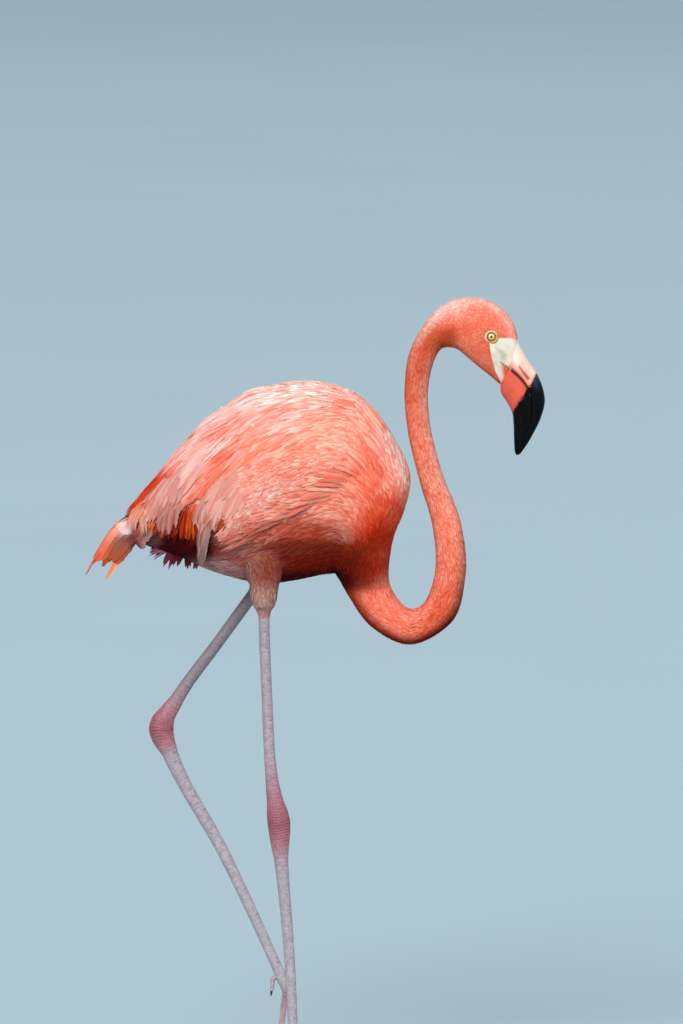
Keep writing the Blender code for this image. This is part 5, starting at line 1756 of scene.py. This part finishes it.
@dataclass
class Foot:
    """A webbed foot: one two-sided fan with a ridge for each toe, a knob at its root and a hind toe."""

    side: Side
    toes: tuple = ((58.0, -37.0), (74.0, 0.0), (66.0, 34.0))
    radii: tuple = (4.6, 4.2, 3.9, 3.5, 2.6)
    knob: float = 6.2
    gap: float = 0.35
    floor: float = 15.0
    flatness: float = 0.82  # height of a toe's ridge over its half width
    skin_colour: str = "A3929B"
    claw_colour: str = "2A2426"

    @property
    def lying(self) -> bool:
        """Whether this foot stands on the board; the other hangs, with its toes drawn together."""
        return self.side is Side.RIGHT

    @property
    def angles(self) -> Array:
        """Angle of each toe in radians, from the foot's middle line outwards."""
        return np.radians([toe[1] * (1.0 if self.lying else 0.42) for toe in self.toes])

    def place_in(self, leg: LegForm) -> tuple[Array, Array, Array]:
        """Set the foot on the end of the shank.

        Args:
            leg: Surface of the leg.

        Returns:
            Root of the toes, the foot's axes as columns (ahead, outwards and up), and the shank's direction.
        """
        line = leg.line
        way = (line[-1] - line[-2]) / np.linalg.norm(line[-1] - line[-2])
        root = line[-1] + way * (self.knob + self.gap)
        pitch, turn = (0.0, 4.0) if self.lying else (96.0, 0.0)
        q = math.radians(turn) * self.side.value
        yaw = np.array([[math.cos(q), -math.sin(q), 0], [math.sin(q), math.cos(q), 0], [0, 0, 1]])
        return root, yaw @ tilted(math.radians(pitch)) @ np.diag([1, self.side.value, 1]), way

    def fan(self, level: float) -> Surface:
        """Toes and webs in polar form.

        Reach at an angle is the scalloped web's, or a toe's within its own width; thickness is the
        web's, or that of a rounded ridge over each toe.

        Args:
            level: Height of the sole over the root of the toes, in mm.

        Returns:
            The fan in the foot's own axes.
        """
        angles = self.angles
        dense = [np.linspace(-1, 1, 41) ** 3 * math.radians(12) + angle for angle in angles]
        turn = np.unique(np.concatenate(dense + [np.linspace(angles[0], angles[2], 120)]))
        turn = turn[(turn > angles[0] - 0.12) & (turn < angles[2] + 0.12)]
        share = np.linspace(0.04, 1, 64)
        lengths = np.array([toe[0] for toe in self.toes])
        web = np.interp(turn, angles, lengths) * 0.86
        between = np.interp(turn, angles, [0, 1, 2]) % 1.0
        web = web * (1 - 0.2 * np.sin(math.pi * between))
        web = web * smooth((turn - angles[0] + 0.05) / 0.05) * smooth((angles[2] - turn + 0.05) / 0.05)
        reach = web
        for angle, length in zip(angles, lengths):
            half = 2.6 / length
            tip = np.sqrt(np.clip(1 - ((turn - angle) / half) ** 2, 0, 1)) ** 0.25
            reach = np.maximum(reach, length * tip)
        reach = np.maximum(reach, 9.0)
        r = share[:, None] * reach[None, :]
        top = np.full_like(r, 0.65)
        for angle, length in zip(angles, lengths):
            off = np.abs(r * np.sin(turn - angle)[None, :])
            wide = np.interp(r / length, np.linspace(0, 1, 5), self.radii)
            joint = 1 + 0.07 * np.cos(r / length * math.tau * 3)
            ridge = np.sqrt(np.clip(1 - (off / (wide * joint)) ** 2, 0, 1)) * wide * joint * self.flatness
            top = np.maximum(top, ridge)
        end = np.sqrt(np.clip((1 - share) / 0.04, 0, 1))[:, None]
        top = top * (0.25 + 0.75 * end)
        if self.lying:
            middle, under = level + 2.2 + (4.6 - 2.2) * np.exp(-(r / 16) ** 2), np.minimum(top, 2.0)
        else:
            middle, under = -1.2 * (1 - np.exp(-r / 14)), top
        x, y = r * np.cos(turn), r * np.sin(turn)
        upper = np.stack([x, y, middle + top], axis=-1)
        lower = np.stack([x, y, middle - under], axis=-1)
        groove = np.exp(-(np.abs((r / 3.2) % 1.0 - 0.5) / 0.14) ** 2) * smooth((top - 1.2) / 0.8)
        upper[..., 2] -= groove * 0.22
        rings = np.concatenate([upper.transpose(1, 0, 2), lower[::-1].transpose(1, 0, 2)], axis=1)
        web_share = smooth((1.4 - np.concatenate([top, top[::-1]], axis=0)) / 0.6).T
        colour = blend(linear(self.skin_colour), "B58389", web_share * 0.6)
        grooves = np.concatenate([groove, groove[::-1] * 0], axis=0).T
        return Surface.tube(rings, {"Marking": colour, "Groove": grooves})

    def rod(self, line: Array, radii: tuple, colour: str, rings: int = 24) -> Surface:
        """Round rod: a circle swept along a line, with its radius between keys and a rounded end.

        Args:
            line: Keys of the middle line in mm.
            radii: Radius at each key in mm.
            colour: Hex colour.
            rings: Number of circles.

        Returns:
            The closed rod.
        """
        t = np.linspace(0, len(line) - 1, rings)
        centre, radius = spline(line, t), np.interp(t, np.arange(len(radii)), radii)
        radius = radius * np.sqrt(np.clip(1 - np.clip(t / t[-1] - 0.9, 0, 0.1) ** 2 / 0.0101, 0.02, 1))
        way = np.gradient(centre, axis=0)
        way /= np.linalg.norm(way, axis=1)[:, None]
        side = np.cross(way, [0.3, 1.0, 0.2])
        side /= np.linalg.norm(side, axis=1)[:, None]
        up = np.cross(side, way)
        turn = circle(16)
        points = centre[:, None] + radius[:, None, None] * (side[:, None] * np.cos(turn)[:, None]
                                                           + up[:, None] * np.sin(turn)[:, None])
        tint = np.broadcast_to(linear(colour), (*points.shape[:2], 3)).copy()
        return Surface.tube(points, {"Marking": tint, "Groove": np.zeros(points.shape[:2])})

    def hind(self, leg: LegForm) -> tuple[Array, Array]:
        """Start and direction of the hind toe in the model's own axes."""
        shank = leg.line[-2] - leg.line[-1]
        axes = tilted(math.atan2(shank[0], shank[2])) @ np.diag([1, self.side.value, 1])
        return leg.line[-1] + axes @ np.array([-9.0, 0.8, 9.0]), axes @ np.array([-0.52, -0.22, -0.82])

    def surfaces(self, leg: LegForm) -> list[Surface]:
        """Fan, knob and hind toe, set in the model's axes.

        Args:
            leg: Surface of the leg.

        Returns:
            The three surfaces.
        """
        root, axes, way = self.place_in(leg)
        fan = self.fan(self.floor + self.gap - root[2])
        fan.points = root + fan.points @ axes.T
        knob = self.rod(np.array([root - way * 9, root - way * 3, root + way * 2.5, root + way * 5.5]),
                        (5.0, 6.0, 6.0, 4.4), self.skin_colour)
        start, back = self.hind(leg)
        inward = (leg.line[-1] - start) * [1, 1, 0]
        line = np.array([start + inward * 0.6 + [0, 0, 1.5], start, start + back * 7.5, start + back * 15])
        toe = self.rod(line, (2.9, 2.8, 2.4, 1.7), self.skin_colour)
        return [fan, knob, toe]

    def build_claws(self, leg: LegForm, horn: Material) -> None:
        """Blunt claws: short tapering rods, which bend down a little on the hanging foot.

        Args:
            leg: Surface of the leg.
            horn: Finish of the claws.
        """
        root, axes, _ = self.place_in(leg)
        keys = np.arange(4)[:, None]
        level, bend = -1.5, -0.35
        if self.lying:
            level, bend = self.floor + self.gap - root[2] + self.radii[2] * self.flatness - 0.6, 0.0
        claws = []
        for (length, _), angle in zip(self.toes, self.angles):
            way = np.array([math.cos(angle), math.sin(angle), 0.0])
            line = way * (length - 1.5) + [0, 0, level - 0.2] + way * keys * 3.1 + [0, 0, bend] * keys**1.5
            claws.append((root + line @ axes.T, (2.1, 1.8, 1.3, 0.5)))
        start, back = self.hind(leg)
        claws.append((start + back * (14.2 + keys * 1.9), (1.4, 1.2, 0.9, 0.4)))
        for name, (line, radii) in zip(("inner", "middle", "outer", "hind"), claws):
            node = f"claw_{name}_{self.side.label}"
            place(self.rod(line, radii, self.claw_colour, 14).make("horn_" + node, horn), "claws", node)


@dataclass
class Studio:
    """Floor, light and camera."""

    target: tuple[float, float, float] = (0.0325, 0.0, 0.6645)
    distance: float = 9.0
    elevation: float = 6.0
    lens: float = 287.7
    floor_radius: float = 60.0
    sky: tuple[str, float] = ("E6EDF2", 0.68)
    lamp_colour: tuple[float, float, float] = (1.0, 0.985, 0.96)
    lamps: tuple = (("key", 2.6, 30, 54, -20), ("fill", 1.05, 80, 75, 35))  # power, then degrees

    def build(self) -> None:
        """Lay the floor, hang the lights and set the camera."""
        turn = circle(96)
        rim = np.column_stack([np.cos(turn), np.sin(turn)]) * self.floor_radius / MM
        rings = np.stack([np.column_stack([rim, np.full_like(turn, z)]) for z in (-20.0, 0.0)])
        Surface.tube(rings).make("studio_floor", FloorFinish().make())
        scene = bpy.context.scene
        scene.view_settings.view_transform = "Standard"
        world = bpy.data.worlds.new("studio")
        world.use_nodes = True
        fill(world.node_tree.nodes["Background"], dict(enumerate(self.sky)))
        scene.world = world
        for name, power, wide, pitch, turn_by in self.lamps:
            lamp = bpy.data.lights.new(name, "SUN")
            lamp.energy, lamp.angle = power, math.radians(wide)
            lamp.color = self.lamp_colour
            held = bpy.data.objects.new(name, lamp)
            held.rotation_euler = (math.radians(pitch), 0.0, math.radians(turn_by))
            scene.collection.objects.link(held)
        camera = bpy.data.cameras.new("camera")
        camera.lens, camera.sensor_width, camera.clip_end = self.lens, 36.0, 400.0
        seen = bpy.data.objects.new("camera", camera)
        lift = math.radians(self.elevation)
        seen.location = Vector(self.target) + Vector((0, -math.cos(lift), math.sin(lift))) * self.distance
        seen.rotation_euler = (math.pi / 2 - lift, 0.0, 0.0)
        scene.collection.objects.link(seen)
        scene.camera = seen


def main() -> None:
    """Build every sub-assembly in order."""
    logging.basicConfig(level=logging.INFO, format="%(message)s")
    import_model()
    Studio().build()
    markings = Markings()
    plumage = PlumageFinish("barbed plumage").make()
    fine = PlumageFinish("fine body plumage", streak=0.25).make()
    skin, leg_skin, horn = SkinFinish().make(), LegSkinFinish().make(), HornFinish().make()
    Body(BodyForm(), Face(), markings).build(fine, skin, EyeFinish().make())
    Bill().build(horn)
    for side in Side:
        Wing(side, markings).build(plumage, skin)
        leg, foot = Leg(side), Foot(side)
        leg.build(leg_skin, fine, foot)
        foot.build_claws(leg.form, horn)
    Tail(TailForm(), markings).build(plumage)
    board = bpy.data.objects["stand_base"]
    board.data.materials.clear()
    board.data.materials.append(BoardFinish().make())
    log.info("stand_base keeps its solid")


if __name__ == "__main__":
    main()
